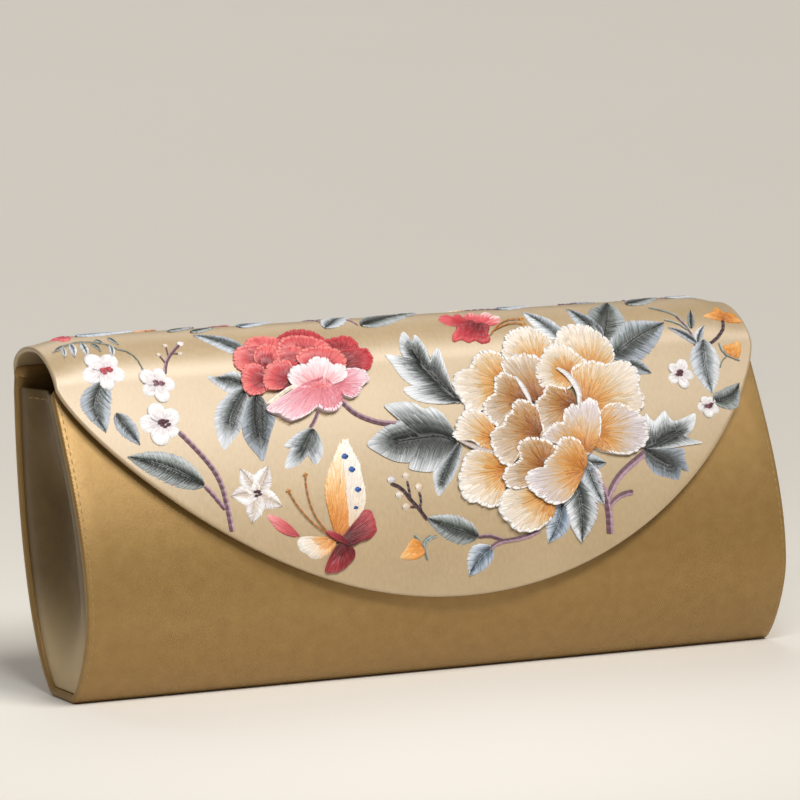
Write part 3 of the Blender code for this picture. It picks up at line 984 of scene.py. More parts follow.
TURNED_PETALS = (
    # silks, width, layer, line
    (("#FFFDFC", "#F3ECEC", "#CFC2C0"), 2.2 * MM, 5, (
        (556, 370), (564, 375), (572, 384), (577, 395), (577, 408))),
    (("#FFFDFC", "#F1E9E9", "#C8BAB8"), 1.8 * MM, 5, ((514, 379), (520, 387), (525, 396), (529, 405))),
    (("#E4D8D2", "#CDBFBC", "#A08C7C"), 1.6 * MM, 3, ((460, 442), (470, 446), (480, 450), (494, 453))),
)
PEONY_LAYER = 0.8               # the peonies lie over the leaves and stems by this much of a layer
TURNED_SECTION = np.array([0.2, 0.6, 0.7, 0.5, 0.1])    # height across the turned edge, as a share of PADDING
# Each petal's fringe of near-white silk is partly a painted highlight along its edge.
for silks, layer, root, outline in GREAT_PEONY:
    shades, layer = PETAL_SILKS[silks], layer + PEONY_LAYER
    petal(on_cloth(outline), on_cloth(root)[0], shades, layer, rim="#FDF9F6", scallops=0.7 * MM)
# Each turned edge is one row of short slanting stitches across its line, widest in the middle
for silks, width, layer, points in TURNED_PETALS:
    line = rounded(on_cloth(points), 0.7 * STRAND, closed=False)
    side = sideways(line)
    taper = np.sin(math.pi * np.linspace(0.06, 0.94, len(line)))[:, None] ** 0.6
    slope = np.stack([side[:, 1], -side[:, 0]], 1) * 0.5 * MM
    across = side * width * 0.55 * taper - slope
    level = np.full((len(line), 1), (layer - 0.2) * LAYER_RISE) + PADDING * TURNED_SECTION
    shades = np.tile(np.linspace(0, 1, STATIONS), (len(line), 1))
    lay(line + across, line - across, level, dyed(silks, shades))
work_piece("great_peony_stitches")


# The red peony. Its back petals are coral and crimson, and the low front ones pale to pink
# and white at their edges.

RED_SILKS = {
    "crimson": ("#D2414B", "#AE2A35", "#7E1620", "#4C0810"),
    "coral": ("#F48C86", "#DC5A5E", "#A82F39", "#661019"),
    "blush": ("#FFF6F8", "#F9DADF", "#F29FA4", "#DB555C"),
    "rose": ("#F8E2E9", "#EDB0BE", "#DC7B89", "#BE4257"),
}
RED_PEONY = (
    # silks, layer, root, outline
    ("crimson", 1, (300, 356), (
        (275, 343), (283, 335), (295, 331), (310, 332), (320, 337), (325, 344), (312, 350), (290, 350))),
    ("coral", 1, (268, 358), (
        (245, 348), (247, 341), (256, 338), (268, 338), (278, 341), (280, 350), (266, 353))),
    ("crimson", 1, (334, 366), (
        (322, 342), (333, 339), (345, 337), (354, 341), (358, 350), (350, 358), (336, 356), (326, 350))),
    ("crimson", 2, (336, 368), (
        (338, 354), (348, 351), (357, 350), (365, 350), (371, 357), (371, 365), (366, 371), (357, 373),
        (345, 372))),
    ("coral", 1, (262, 360), (
        (233, 358), (236, 350), (246, 347), (257, 347), (262, 356), (254, 368), (241, 371), (235, 366))),
    ("coral", 2, (266, 366), (
        (253, 358), (256, 350), (265, 346), (274, 349), (278, 358), (272, 366), (258, 368))),
    ("coral", 2, (302, 360), (
        (277, 350), (280, 342), (290, 338), (304, 338), (318, 341), (328, 347), (322, 355), (300, 356),
        (284, 355))),
    ("coral", 2, (290, 366), (
        (275, 357), (279, 350), (290, 347), (301, 350), (302, 359), (291, 367), (279, 364))),
    ("coral", 3, (320, 372), (
        (295, 359), (303, 351), (318, 349), (331, 350), (341, 355), (345, 364), (340, 371), (320, 370),
        (304, 368))),
    ("coral", 3, (262, 382), (
        (241, 373), (246, 366), (257, 366), (265, 372), (268, 382), (265, 392), (255, 396), (246, 394),
        (241, 385))),
    ("crimson", 3, (290, 384), (
        (284, 364), (292, 363), (298, 370), (297, 382), (288, 389), (278, 388))),
    ("coral", 4, (287, 382), (
        (262, 379), (265, 369), (275, 363), (287, 363), (290, 371), (287, 382), (280, 390), (270, 391),
        (263, 388))),
    ("blush", 5, (318, 392), (
        (286, 378), (290, 370), (298, 367), (305, 366), (310, 361), (319, 360), (326, 362), (331, 367),
        (338, 366), (344, 371), (344, 379), (336, 384), (320, 386), (304, 388), (295, 389), (288, 384))),
    ("rose", 4, (330, 384), (
        (342, 372), (350, 370), (360, 371), (366, 376), (367, 382), (361, 387), (358, 394), (352, 399),
        (343, 397), (334, 392), (329, 384))),
    ("rose", 5, (322, 378), (
        (265, 410), (272, 404), (285, 396), (297, 388), (310, 384), (323, 384), (331, 388), (338, 394),
        (341, 402), (337, 410), (330, 413), (322, 412), (315, 409), (309, 414), (300, 419), (290, 422),
        (283, 419), (276, 415), (268, 414))),
)
# Each petal's fringe, in its palest silk, is partly a painted highlight along its edge.
for silks, layer, root, outline in RED_PEONY:
    shades, layer = RED_SILKS[silks], layer + PEONY_LAYER
    petal(on_cloth(outline), on_cloth(root)[0], shades, layer, rim=shades[0], scallops=0.4 * MM)
stem(((267, 406), (278, 397), (290, 389), (300, 386)), 1.3 * MM, ("#FFFBF2", "#EFE0C8"), 5.8)
work_piece("red_peony_stitches")


# The leaves, in grey and white silks with green-black at the midribs. The small ones are
# single blades, and the largest have several lobes round one midrib. Positions, widths and
# bends are pixels of the photograph.

PIXEL_SIZE = 0.325 * MM         # one pixel of the photograph at the flap
LEAF_FULLNESS = 1.2
LEAF_SILKS = {
    # each side of the midrib, from the edge inwards
    "pale": (("#F4F6FB", "#BCC3CA", "#59615F"), ("#E2E7F0", "#9CA5AC", "#3E4543")),
    "slate": (("#CCD3DF", "#7E8889", "#262C29"), ("#BBC3D1", "#606968", "#1A1F1C")),
    "dark": (("#A6ADAE", "#3A413D", "#121613"), ("#BEC4C8", "#707973", "#202622")),
    "inky": (("#E8ECF4", "#78807F", "#131714"), ("#F0F2F8", "#828B8B", "#171B18")),
    "blue": (("#CBD5E4", "#8798AC", "#46535C"), ("#DDE4EE", "#A4B3C4", "#5A6972")),
}
LEAVES = (
    # silks, layer, base, tip, width, bend; above 0 it bows to the left of the way from base to tip
    ("slate", 1, (103, 382), (106, 433), 27, -9),
    ("slate", 1, (116, 414), (140, 445), 17, 0),
    ("dark", 1, (204, 485), (127, 457), 27, -4),
    ("slate", 1, (248, 355), (193, 336), 18, -3),
    ("pale", 1, (562, 340), (522, 313), 22, 0),
    ("slate", 1, (602, 338), (566, 310), 20, 0),
    ("dark", 1, (604, 339), (607, 304), 34, 0),
    ("slate", 1, (628, 362), (651, 373), 14, 0),
    ("slate", 1, (612, 357), (664, 323), 36, 3),
    ("slate", 1, (580, 462), (606, 463), 15, 0),
    ("pale", 1, (586, 462), (604, 505), 20, -2),
    ("blue", 1, (562, 503), (548, 543), 22, 3),
    ("inky", 2, (574, 478), (581, 543), 31, 3),
    ("pale", 1, (703, 340), (712, 394), 28, -2),
    ("dark", 1, (713, 402), (739, 383), 20, -7),
    ("dark", 1, (478, 536), (426, 518), 23, 1),
    ("blue", 1, (491, 547), (469, 576), 22, -3),
    ("dark", 1, (691, 328), (690, 311), 7, 0),
    ("slate", 1, (697, 344), (668, 328), 8, -2),
    ("pale", 1, (697, 344), (704, 326), 8, 2),
    ("dark", 1, (55, 347), (66, 344), 4, 1),
    ("pale", 1, (62, 346), (64, 355), 4, 1),
    ("pale", 1, (70, 344), (74, 356), 6, 1),
    ("pale", 1, (81, 344), (87, 357), 6, 1),
    ("dark", 1, (91, 345), (100, 352), 4, 2),
    ("dark", 1, (95, 341), (103, 345), 4, 1),
    ("pale", 1, (110, 346), (112, 357), 5, 1),
    ("dark", 1, (108, 339), (118, 345), 4, 0),
)
for silks, layer, base, tip, width, bend in LEAVES:
    base, tip = on_cloth((base, tip))
    leaf(base, tip, LEAF_FULLNESS * width * PIXEL_SIZE, bend * PIXEL_SIZE, LEAF_SILKS[silks], layer)


RIB_SLANT = 0.7                 # how far back a stitch meets the midrib, as a share of its distance
LEAF_ROWS = ((0.0, 0.42), (0.3, 0.72), (0.58, 1.0))     # shares of the way from the edge to the midrib


def lobed_leaf(outline, rib, silks, layer=1, vein="#1A1F1C"):
    """Works a leaf of several lobes: stitches slant from its edge back to the one midrib."""
    rib = rounded(rib, STRAND, closed=False)
    floor = (layer - 1) * LAYER_RISE
    under = dyed(silks, np.array([0.2, 0.4, 0.7, 1.0]), 0, 0)
    pad(rounded(outline, PAD_PITCH), rib[len(rib) // 3], leaf_rings(floor), under)
    edge = rounded(outline, 0.6 * STRAND)
    apart = np.linalg.norm(edge[:, None] - rib[None], axis=2)
    back = apart.argmin(1) - (RIB_SLANT * apart.min(1) / STRAND).astype(int)
    toward = rib[np.maximum(back, 0)] - edge
    reach = np.linalg.norm(toward, axis=1)
    shortness = 1 - (reach / reach.max()) ** 0.4        # short stitches, between lobes, are darker
    for begin, finish in LEAF_ROWS:
        begin = np.clip(begin + silk.uniform(-0.1, 0.06, len(edge)), 0, 1) * (begin > 0)
        finish = np.clip(finish + silk.uniform(-0.08, 0.1, len(edge)), 0, 0.98)
        shares = stations_of(begin, finish)
        lay(
            edge + toward * begin[:, None],
            edge + toward * finish[:, None],
            floor + PADDING * np.interp(shares, *LEAF_SECTION),
            dyed(silks, 1.25 * shares ** 1.1 + 0.45 * shortness[:, None], 0.08),
        )
    run_of_stitches(rib[:: int(STEM_STITCH / STRAND)], 1.1 * STRAND, [vein, vein], floor + 0.75 * PADDING)


LOBED_SILKS = {
    # from the edge inwards
    "white": ("#F7F9FC", "#D2D6DC", "#6E7575", "#131715"),
    "pale": ("#EEF1F6", "#C4C9D0", "#868E90", "#363D3B"),
    "grey": ("#E6E9ED", "#9EA3A6", "#4E5553", "#151A18"),
    "storm": ("#BAC1CE", "#7E8790", "#454C4D", "#161A19"),
}
LOBED_LEAVES = (
    # silks, layer, midrib from its base, outline
    ("pale", 1, ((244, 384), (230, 380), (216, 378)), (
        (207, 377), (217, 377), (233, 371), (242, 377), (244, 387), (229, 393), (217, 386))),
    ("pale", 1, ((244, 392), (233, 413), (229, 431)), (
        (244, 388), (236, 388), (226, 396), (217, 406), (214, 419), (216, 432), (219, 442), (224, 450),
        (231, 443), (239, 433), (243, 421), (247, 406), (248, 394))),
    ("storm", 1.5, ((256, 396), (257, 416), (260, 443)), (
        (255, 394), (248, 401), (244, 413), (242, 430), (247, 443), (256, 454), (263, 461), (267, 448),
        (271, 433), (275, 419), (269, 410), (263, 399))),
    ("pale", 1, ((313, 430), (306, 446), (298, 458)), (
        (312, 429), (302, 431), (291, 438), (284, 446), (290, 448), (287, 457), (285, 468), (297, 466),
        (308, 456), (311, 460), (316, 465), (322, 457), (323, 447), (319, 436))),
    ("white", 1.5, ((460, 402), (438, 381), (421, 363), (409, 347)), (
        (460, 402), (452, 388), (448, 375), (443, 360), (438, 348), (433, 354), (430, 360), (425, 347),
        (415, 335), (412, 342), (403, 332), (399, 341), (400, 351), (403, 359), (394, 358), (385, 355),
        (393, 366), (400, 376), (409, 384), (413, 386), (403, 389), (410, 397), (421, 402), (438, 404),
        (452, 403))),
    ("pale", 1, ((459, 444), (449, 466), (440, 487)), (
        (460, 444), (462, 450), (459, 465), (454, 477), (447, 487), (438, 496), (434, 484), (433, 472),
        (440, 461), (451, 448))),
    ("grey", 2, ((456, 443), (440, 437), (415, 439), (388, 444)), (
        (456, 443), (453, 431), (447, 420), (439, 411), (430, 407), (424, 409), (415, 404), (405, 402),
        (393, 403), (384, 406), (391, 413), (398, 421), (386, 426), (375, 435), (367, 445), (379, 454),
        (393, 461), (406, 463), (412, 462), (409, 469), (422, 472), (434, 471), (441, 462), (450, 451))),
    ("storm", 1, ((645, 449), (660, 459), (674, 467)), (
        (645, 449), (665, 449), (684, 449), (685, 458), (689, 471), (682, 469), (679, 480), (668, 478),
        (655, 474), (646, 461))),
    ("white", 2, ((645, 449), (663, 441), (682, 429)), (
        (644, 448), (643, 433), (645, 414), (650, 419), (654, 421), (658, 417), (664, 411), (669, 418),
        (674, 421), (684, 418), (695, 414), (693, 428), (684, 440), (691, 441), (702, 443), (684, 446),
        (665, 449))),
)
for silks, layer, rib, outline in LOBED_LEAVES:
    lobed_leaf(on_cloth(outline), on_cloth(rib), LOBED_SILKS[silks], layer)
work_piece("leaf_stitches")


# The leaves and flowers that the roll hides from the front. They go on over the crest of the
# flap, so their places are along the purse and down from the mouth line, in millimetres.

CREST_LEAVES = (
    # silks, base, tip, width, bend
    ("blue", (-110, -24), (-88, -29), 6, 0),
    ("dark", (-79, -22), (-68, -27), 3, 0),
    ("dark", (-72, -20), (-63, -23), 3, 0),
    ("blue", (-54, -22), (-38, -32), 8, 1),
    ("pale", (-26, -17), (-12, -31), 8, 0),
    ("dark", (-13, -17), (9, -25), 9, 1),
    ("dark", (3, -22), (14, -33), 6, 0),
    ("blue", (40, -24), (58, -34), 8, 0),
    ("dark", (86, -20), (101, -27), 7, 0),
    ("pale", (104, -26), (118, -30), 7, 0),
    ("slate", (70, -30), (84, -40), 8, -1),
    ("pale", (-96, -34), (-112, -41), 7, 1),
    ("slate", (-30, -36), (-46, -42), 7, -1),
    ("pale", (18, -36), (30, -43), 7, 0),
)
for silks, base, tip, width, bend in CREST_LEAVES:
    leaf(np.array(base) * MM, np.array(tip) * MM, width * MM, bend * MM, LEAF_SILKS[silks])
CORAL = ("#F2848A", "#D2525C", "#A8323E")
CREST_FLOWERS = (
    # silks, place of the root, reach and width, turn of each petal in degrees
    (CORAL, (-113, -25), 5, 4, (190, 120)),
    (("#F9D3B4", "#F0A878", "#D9822A"), (-84, -27), 5, 5, (200, 300)),
    (CORAL, (-58, -30), 6, 5, (250, 320)),
    (("#FFFDF8", "#F8E6CE", "#EFB468"), (30, -30), 7, 6, (215, 270, 325)),
)
FLAT_RISE = 0.6 * PADDING       # small petals are padded less
ROUND_POINTS = 9


def round_petal(root, reach, width, turned, seat):
    """Oval outline of a petal; reach and width in metres, turned in degrees, and seat is the share
    of the reach at which it is widest."""
    a = math.radians(turned)
    outward, aside = np.array([math.cos(a), math.sin(a)]), np.array([-math.sin(a), math.cos(a)])
    turns = np.linspace(0, 2 * math.pi, ROUND_POINTS, endpoint=False)[:, None]
    return root + outward * reach * (seat + (1 - seat) * np.cos(turns)) + aside * width / 2 * np.sin(turns)


for silks, place, reach, width, turns in CREST_FLOWERS:
    root = np.array(place) * MM
    for turned in turns:
        petal(round_petal(root, reach * MM, width * MM, turned, 0.55), root, silks, 1, FLAT_RISE)
CREST_STEMS = (
    # line, in millimetres along the purse and down from the mouth line
    ((-84, -27), (-90, -31), (-96, -34)),
    ((-58, -30), (-52, -34), (-46, -37), (-36, -39), (-30, -36), (-27, -28), (-25, -18)),
    ((-14, -17), (-16, -23), (-24, -30), (-30, -36)),
    ((18, -36), (24, -33), (30, -30), (36, -27), (40, -24)),
    ((104, -26), (96, -30), (86, -32), (78, -31), (70, -30), (64, -27)),
    ((86, -20), (88, -25), (90, -31)),
)
for points in CREST_STEMS:
    line = rounded(np.array(points) * MM, STEM_STITCH, closed=False)
    run_of_stitches(line, 1.5 * STRAND, ("#8E6C7C", "#6E4C58"), 0.1 * PADDING)
work_piece("crest_stitches")


# The stems and twigs, in mauve brown with a darker silk along the lower flank.

MAUVE = ("#B492A2", "#6E4C58")
UMBER = ("#5E4048", "#3A262C")
SAGE = ("#A9B2AC", "#79837C")
STEMS = (
    # silks, width, line
    (MAUVE, 1.7 * MM, ((179, 432), (192, 445), (205, 459), (215, 472), (222, 486), (227, 505), (232, 530))),
    (MAUVE, 1.4 * MM, ((205, 486), (214, 496), (224, 508))),
    (MAUVE, 1.9 * MM, ((340, 399), (348, 408), (358, 415), (370, 420), (382, 423), (396, 424))),
    (MAUVE, 1.2 * MM, ((318, 412), (315, 420), (311, 427))),
    (MAUVE, 2.2 * MM, ((646, 452), (634, 462), (622, 473), (614, 484), (609, 496))),
    (MAUVE, 2.5 * MM, ((594, 470), (600, 483), (606, 497), (609, 514), (610, 532))),
    (MAUVE, 1.7 * MM, ((633, 492), (624, 494), (617, 498), (611, 504))),
    (MAUVE, 1.5 * MM, ((540, 530), (528, 536), (512, 540), (500, 542), (491, 548))),
    (MAUVE, 1.2 * MM, ((478, 537), (490, 536), (503, 540))),
    (UMBER, 1.0 * MM, ((722, 318), (723, 328), (717, 338), (708, 345))),
    (UMBER, 1.2 * MM, ((427, 520), (419, 509), (409, 498), (402, 489), (392, 484))),
    (UMBER, 0.7 * MM, ((407, 481), (409, 490), (410, 497))),
    (UMBER, 0.8 * MM, ((419, 492), (421, 500), (420, 507))),
    (UMBER, 0.7 * MM, ((410, 507), (417, 507), (421, 509))),
    (MAUVE, 1.0 * MM, ((165, 374), (166, 363), (171, 354), (178, 346))),
    (MAUVE, 0.5 * MM, ((165, 363), (160, 357))),
    (MAUVE, 0.5 * MM, ((168, 356), (166, 348))),
    (MAUVE, 0.5 * MM, ((172, 354), (179, 354))),
    (SAGE, 0.5 * MM, ((118, 350), (129, 353), (138, 361), (144, 373))),
    (SAGE, 0.5 * MM, ((52, 348), (62, 345), (76, 343), (92, 343), (106, 345), (118, 350))),
    (SAGE, 0.6 * MM, ((648, 308), (662, 311), (674, 315), (683, 322), (689, 330))),
    (MAUVE, 0.7 * MM, ((676, 317), (689, 330), (694, 342), (697, 354))),
    (SAGE, 0.6 * MM, ((664, 320), (676, 323), (686, 329))),
    (SAGE, 0.6 * MM, ((437, 536), (430, 539), (425, 546))),
    (SAGE, 0.9 * MM, ((414, 535), (419, 540), (424, 547), (427, 558))),
    (SAGE, 0.9 * MM, ((431, 536), (424, 541), (424, 548))),
    (SAGE, 0.6 * MM, ((719, 343), (722, 351), (728, 356), (738, 360))),
    (SAGE, 0.5 * MM, ((727, 356), (722, 361), (720, 367))),
)
PEARL = ("#F3E8DA", "#D9C7AE")
OAT = ("#F3E8DA", "#CDB08C")
BERRIES = (
    # silks, radius, centre
    (("#EFEBEA", "#C9C6CC"), 1.3 * MM, (391, 480)),
    (PEARL, 1.2 * MM, (406, 476)),
    (OAT, 1.3 * MM, (419, 487)),
    (("#F7F2EA", "#DCCBB4"), 1.2 * MM, (399, 495)),
    (OAT, 1.3 * MM, (406, 507)),
    (("#FBF6F2", "#E6D8D6"), 1.1 * MM, (180, 344)),
    (PEARL, 0.8 * MM, (159, 355)),
    (PEARL, 0.8 * MM, (165, 346)),
    (PEARL, 0.8 * MM, (180, 354)),
)
for silks, width, line in STEMS:
    stem(line, width, silks)
for silks, radius, centre in BERRIES:
    spot(on_cloth(centre)[0], radius, silks)
work_piece("stem_stitches")


# The small blossoms, the buds and the orange flower. A plum blossom has five round petals of
# white silk round a knot of red or brown stamens.

WHITE_SILKS = ("#FFFFFF", "#EFE9EA", "#CBBFC6")
BLOSSOMS = (
    # centre, petal reach and width in pixels, turn in degrees, stamen silks
    ((104, 371), 23, 18, 20, ("#E8707A", "#B84450")),
    ((157, 384), 19, 15, 5, ("#B0848C", "#7A4C58")),
    ((162, 424), 23, 19, 40, ("#7E5560", "#55343E")),
    ((680, 374), 16, 12, 10, ("#7E4450", "#4A2430")),
    ((708, 406), 13, 11, 30, ("#8E5A66", "#5A303C")),
)
SIZE_SPREAD = 0.06              # how much the petals of one blossom differ
STAMENS = 9
STAMEN_RADIUS = 0.6 * MM
KNOT_REACH = 0.3                # how far out stamens stand, as a share of the petals' reach
for centre, reach, width, turned, stamens in BLOSSOMS:
    root = on_cloth(centre)[0]
    for k in range(5):
        size = PIXEL_SIZE * (1 + SIZE_SPREAD * silk.standard_normal())
        outline = round_petal(root, reach * size, width * size, turned + 72 * k, 0.58)
        petal(outline, root, WHITE_SILKS, 1 + k % 2, FLAT_RISE)
    for k in range(STAMENS):
        a = silk.uniform(0, 2 * math.pi)
        away = silk.uniform(0.1, 1.0) * KNOT_REACH * reach * PIXEL_SIZE
        spot(root + away * np.array([math.cos(a), 0.6 * math.sin(a)]), STAMEN_RADIUS, stamens, 3)

STAR_TIPS = ((240, 469), (268, 466), (282, 506), (252, 523), (231, 496))
STAR_WIDTH = 20 * PIXEL_SIZE
STAR_SILKS = (("#FFFFFF", "#EBE4E2", "#CDBFB0"), ("#F4F0F2", "#DCD2CE", "#C2B09A"))
star = on_cloth((257, 494))[0]
for tip in on_cloth(STAR_TIPS):
    leaf(star, tip, STAR_WIDTH, 0, STAR_SILKS, vein="#D8CBC0")
for k in range(5):
    spot(star + silk.uniform(-0.8, 0.8, 2) * MM, 0.5 * MM, ("#6A4250", "#3E222C"), 3)

BUDS = (
    # silks, layer, root, outline
    (("#F9CE8E", "#F0A850", "#D9822A"), 1, (424, 546), (
        (400, 558), (406, 548), (412, 539), (419, 541), (423, 548), (423, 556), (412, 560))),
    (("#F9C476", "#EFA23E", "#C97A1E"), 1, (731, 358), (
        (723, 346), (731, 344), (739, 341), (741, 350), (738, 358), (729, 356))),
    (("#F7C27A", "#E99B3C", "#B86414"), 1, (724, 316), (
        (703, 316), (712, 311), (715, 305), (722, 309), (733, 309), (737, 314), (742, 319), (728, 321),
        (714, 319))),
    (("#F4A6A8", "#D96468", "#B04450"), 1, (299, 536), (
        (267, 515), (278, 517), (287, 523), (294, 530), (300, 537), (284, 534), (274, 527))),
)
BUD_RISE = 0.7 * PADDING
for silks, layer, root, outline in BUDS:
    petal(on_cloth(outline), on_cloth(root)[0], silks, layer, BUD_RISE)
work_piece("blossom_stitches")


# The butterflies. The large one has cream wings shaded to orange, with blue eyes and
# crimson lower wings; a small red one flies at the top.

CRIMSON = ("#C24A52", "#98252F", "#680F18", "#47060D")
WINGS = (
    # silks, layer, root, outline
    (("#FFFAF0", "#FBE9CE", "#F2C88E", "#E8A654", "#D98A34", "#C4701C"), 1, (336, 540), (
        (346, 439), (352, 450), (358, 462), (361, 475), (364, 490), (364, 503), (359, 518), (350, 529),
        (341, 535), (333, 524), (328, 508), (325, 492), (327, 476), (332, 462), (338, 448))),
    (("#F2ECE4", "#EDE2D6", "#E8D2B6"), 1.6, (349, 531), (
        (346, 441), (353, 452), (359, 464), (362, 477), (365, 490), (365, 503), (360, 518), (352, 529),
        (353, 517), (357, 502), (354, 491), (355, 482), (349, 474), (348, 462), (342, 452))),
    (("#FFFDF8", "#F4E6D4", "#EDB470", "#D9822A"), 1, (330, 538), (
        (298, 540), (304, 537), (320, 538), (336, 543), (332, 552), (322, 558), (313, 559), (306, 554),
        (299, 549))),
    (CRIMSON, 3, (338, 542), (
        (343, 538), (352, 528), (360, 518), (364, 510), (371, 512), (374, 520), (376, 530), (370, 538),
        (361, 541), (353, 545))),
    (CRIMSON, 3, (342, 540), (
        (338, 545), (347, 546), (354, 551), (354, 558), (348, 565), (340, 571), (332, 573), (325, 572),
        (327, 563), (331, 554))),
    (("#C9404A", "#8E2430", "#4A070E"), 4, (350, 546), (
        (325, 532), (332, 532), (342, 537), (352, 545), (344, 544), (333, 539))),
    (("#F07A80", "#D2404A", "#8E1B26"), 1, (468, 327), (
        (438, 320), (443, 315), (450, 318), (456, 314), (462, 318), (468, 322), (462, 327), (453, 326),
        (446, 325))),
    (("#FFF2EC", "#E8606A", "#A52C36"), 1, (474, 328), (
        (463, 319), (470, 313), (479, 315), (486, 312), (493, 315), (500, 317), (499, 323), (490, 326),
        (478, 327))),
    (("#E8525A", "#B8303C", "#5E0C14"), 2, (476, 325), (
        (455, 332), (458, 325), (468, 322), (480, 324), (489, 327), (488, 334), (490, 341), (483, 344),
        (475, 341), (468, 343), (461, 340), (454, 342), (452, 337))),
)
EYES = (
    # pixels across and down the photograph, radius in millimetres
    (344, 457, 1.0),
    (351, 470, 1.0),
    (357, 490, 0.95),
    (355, 508, 0.6),
)
ANTENNAE = (
    ((325, 533), (312, 523), (300, 510), (293, 500), (288, 491)),
    ((326, 531), (317, 520), (310, 505), (306, 488), (305, 475)),
    ((490, 336), (498, 326), (508, 321), (521, 320)),
    ((492, 332), (502, 327), (512, 324), (523, 325)),
)
for silks, layer, root, outline in WINGS:
    petal(on_cloth(outline), on_cloth(root)[0], silks, layer, BUD_RISE, scallops=0.35 * MM)
for u, v, radius in EYES:
    spot(on_cloth((u, v))[0], radius * MM, ("#3A78D0", "#123070"), 3)
for line in ANTENNAE:
    stem(line, 0.5 * MM, ("#E39A3C", "#B46A18"), 2)
    spot(on_cloth(line[-1])[0], 0.6 * MM, ("#EDA850", "#C47A22"), 2)
work_piece("butterfly_stitches")


# The gussets. Each end is closed by one slack side panel of the same gold satin, sewn into
# the wrap along its front, base and back, so that it folds inwards when the purse is shut.
# Its free top edge is hemmed with one row of stitches.

GUSSET_WALL = 0.9 * MM
GUSSET_FOLD = 0.4 * MM          # half its wall, where the hem folds over
GUSSET_INSET = 1.2 * MM         # wrap's end to the gusset's edge
GUSSET_SEAM = 3 * MM            # flat margin along the sewn edges
GUSSET_SAG = 7 * MM
GUSSET_LIFT = 0.2 * MM
HEM_DROP = 0.8 * MM
HEM_STAND = 0.12 * MM           # the hem's thread over the cloth
GUSSET_HOLLOW = (
    # share of the height, share of GUSSET_SAG
    (0.00, 0.00),
    (0.03, 0.00),
    (0.35, 0.80),
    (0.65, 1.00),
    (0.88, 0.45),
    (1.00, 0.45),
)
GUSSET_COLUMNS = 32
GUSSET_ROWS = 56
ROW_POWER = 1.5                 # gathers the rows low down, where the panel narrows


def crossing(points, height):
    """Depth at which a section curve first passes that height."""
    for (y0, z0), (y1, z1) in zip(points, points[1:]):
        if min(z0, z1) <= height <= max(z0, z1) and z0 != z1:
            return y0 + (y1 - y0) * (height - z0) / (z1 - z0)
    return points[-1][0]


def hollow(share):
    """Depth of the hollow at a share of the gusset's height, eased between the table's rows."""
    for (low, low_depth), (high, high_depth) in zip(GUSSET_HOLLOW, GUSSET_HOLLOW[1:]):
        if share <= high:
            t = (share - low) / (high - low)
            return low_depth + (high_depth - low_depth) * t * t * (3 - 2 * t)
    return GUSSET_HOLLOW[-1][1]


# Polyester satin with the same slanted floats as outside. Its colour is painted shade: the gold
# is darkened to a soft olive gold, so it also gleams less than outside. Low down, where the panel
# turns out and up to the light, painted light makes it paler.
PAINTED_LIGHT_FULL_AT = 8 * MM
PAINTED_LIGHT_GONE_AT = 40 * MM
gusset_satin_painted_shading = twill_satin.copy()
gusset_satin_painted_shading.name = "gusset_twill_satin_painted_shading"
# Painted shade: the weave's two tones are darkened from gold to olive gold.
for node in gusset_satin_painted_shading.node_tree.nodes:
    if node.type == "MIX" and node.blend_type == "MIX":
        feed(gusset_satin_painted_shading, node, A="#5E4A2A", B="#745F3A")
shader = gusset_satin_painted_shading.node_tree.nodes["Principled BSDF"]
woven_painted_shade = shader.inputs["Base Color"].links[0].from_node
cloth_uv = add_node(gusset_satin_painted_shading, "ShaderNodeUVMap", {"uv_map": "cloth"})
up_panel = add_node(gusset_satin_painted_shading, "ShaderNodeSeparateXYZ", Vector=(cloth_uv, "UV"))
# Painted light: between the upper and the lower height the colour turns towards a pale gold, as if the panel
# caught the light low down.
pale = add_node(
    gusset_satin_painted_shading, "ShaderNodeMapRange", {"interpolation_type": "SMOOTHSTEP"},
    Value=(up_panel, "Y"), From_Min=PAINTED_LIGHT_FULL_AT, From_Max=PAINTED_LIGHT_GONE_AT, To_Min=0.85, To_Max=0.0
)
painted_light_tone = add_node(
    gusset_satin_painted_shading, "ShaderNodeMix", BLEND, Factor=(pale, "Result"), A=(woven_painted_shade, "Result"), B="#D2BA90"
)
feed(gusset_satin_painted_shading, shader, Base_Color=(painted_light_tone, "Result"))

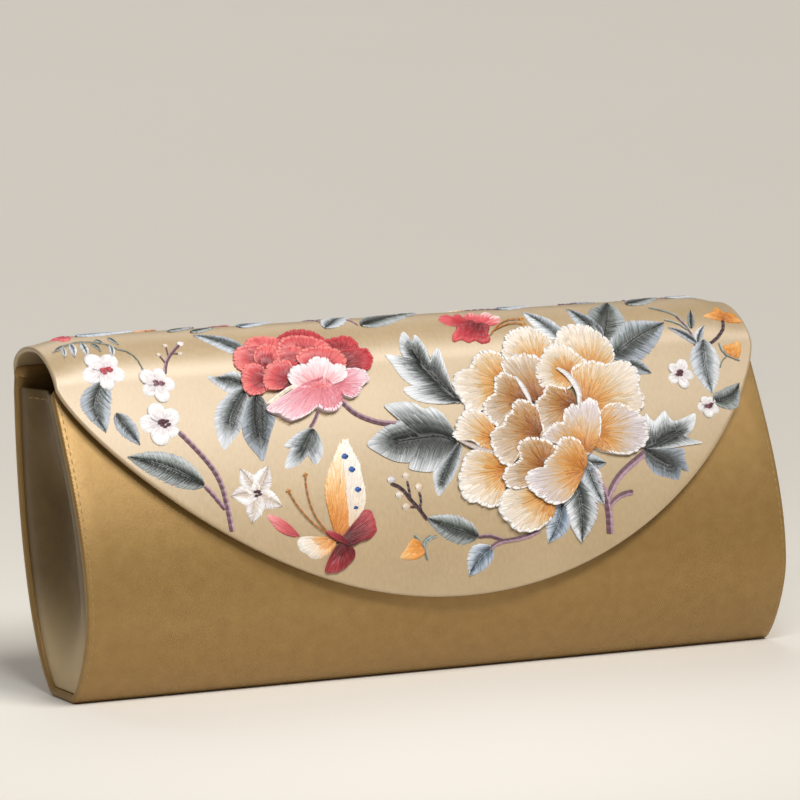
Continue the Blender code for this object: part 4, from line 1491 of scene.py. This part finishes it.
inner = wrap_outline()
inner -= facing(inner) * (WRAP_WALL + SEAT_GAP)
floor = WRAP_WALL + SEAT_GAP + GUSSET_LIFT
hem = inner[0][1] - HEM_DROP
hem_rows = []
for name, side in (("gusset_cloth_left", -1), ("gusset_cloth_right", 1)):
    rows = []
    for r in range(GUSSET_ROWS + 1):
        share = (r / GUSSET_ROWS) ** ROW_POWER
        height = floor + (hem - floor) * share
        front, back = crossing(inner, height), crossing(inner[::-1], height)
        seam = min(GUSSET_SEAM, (back - front) / 4)
        across = np.linspace(0, 1, GUSSET_COLUMNS + 1)
        depth = GUSSET_SAG * hollow(share) * np.sin(math.pi * across) ** 2
        y = front + seam + (back - front - 2 * seam) * across
        y = np.concatenate([[front], y, [back]])
        depth = np.concatenate([[0], depth, [0]])
        x = side * (WIDTH / 2 - GUSSET_INSET - depth)
        rows.append(np.stack([x, y, np.full_like(y, height)], -1))
    grid = np.array(rows)[:, ::side]
    normals = unit(np.cross(np.gradient(grid, axis=1), np.gradient(grid, axis=0)))
    gusset = covered_card(name, grid, normals, grid[..., 1:], GUSSET_WALL, GUSSET_FOLD, gusset_satin_painted_shading)
    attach(gusset, "root")
    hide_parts(name.replace("_cloth", ""))
    hem_line = grid[:, ::side][-2, 2:-2] + side * np.array((HEM_STAND, 0, 0))
    hem_rows.append((hem_line, np.tile((side, 0, 0), (len(hem_line), 1))))
sewn_piece("hem_stitching", hem_rows, sewing_thread)


# The snap. A thin disc magnet in a pressed steel cup is glued under the flap's tip, and it
# is nickel plated. It is hidden when the purse is shut.

plated_steel, shader = new_material("nickel_plated_steel")
scuffs = add_node(plated_steel, "ShaderNodeTexNoise", Scale=900.0, Detail=3.0)
gloss = add_node(plated_steel, "ShaderNodeMapRange", Value=(scuffs, "Fac"), To_Min=0.22, To_Max=0.38)
feed(plated_steel, shader, Base_Color="#C9C4BC", Roughness=(gloss, "Result"), Metallic=1.0)
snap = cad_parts["magnetic_snap"]
snap.data.materials.clear()
snap.data.materials.append(plated_steel)
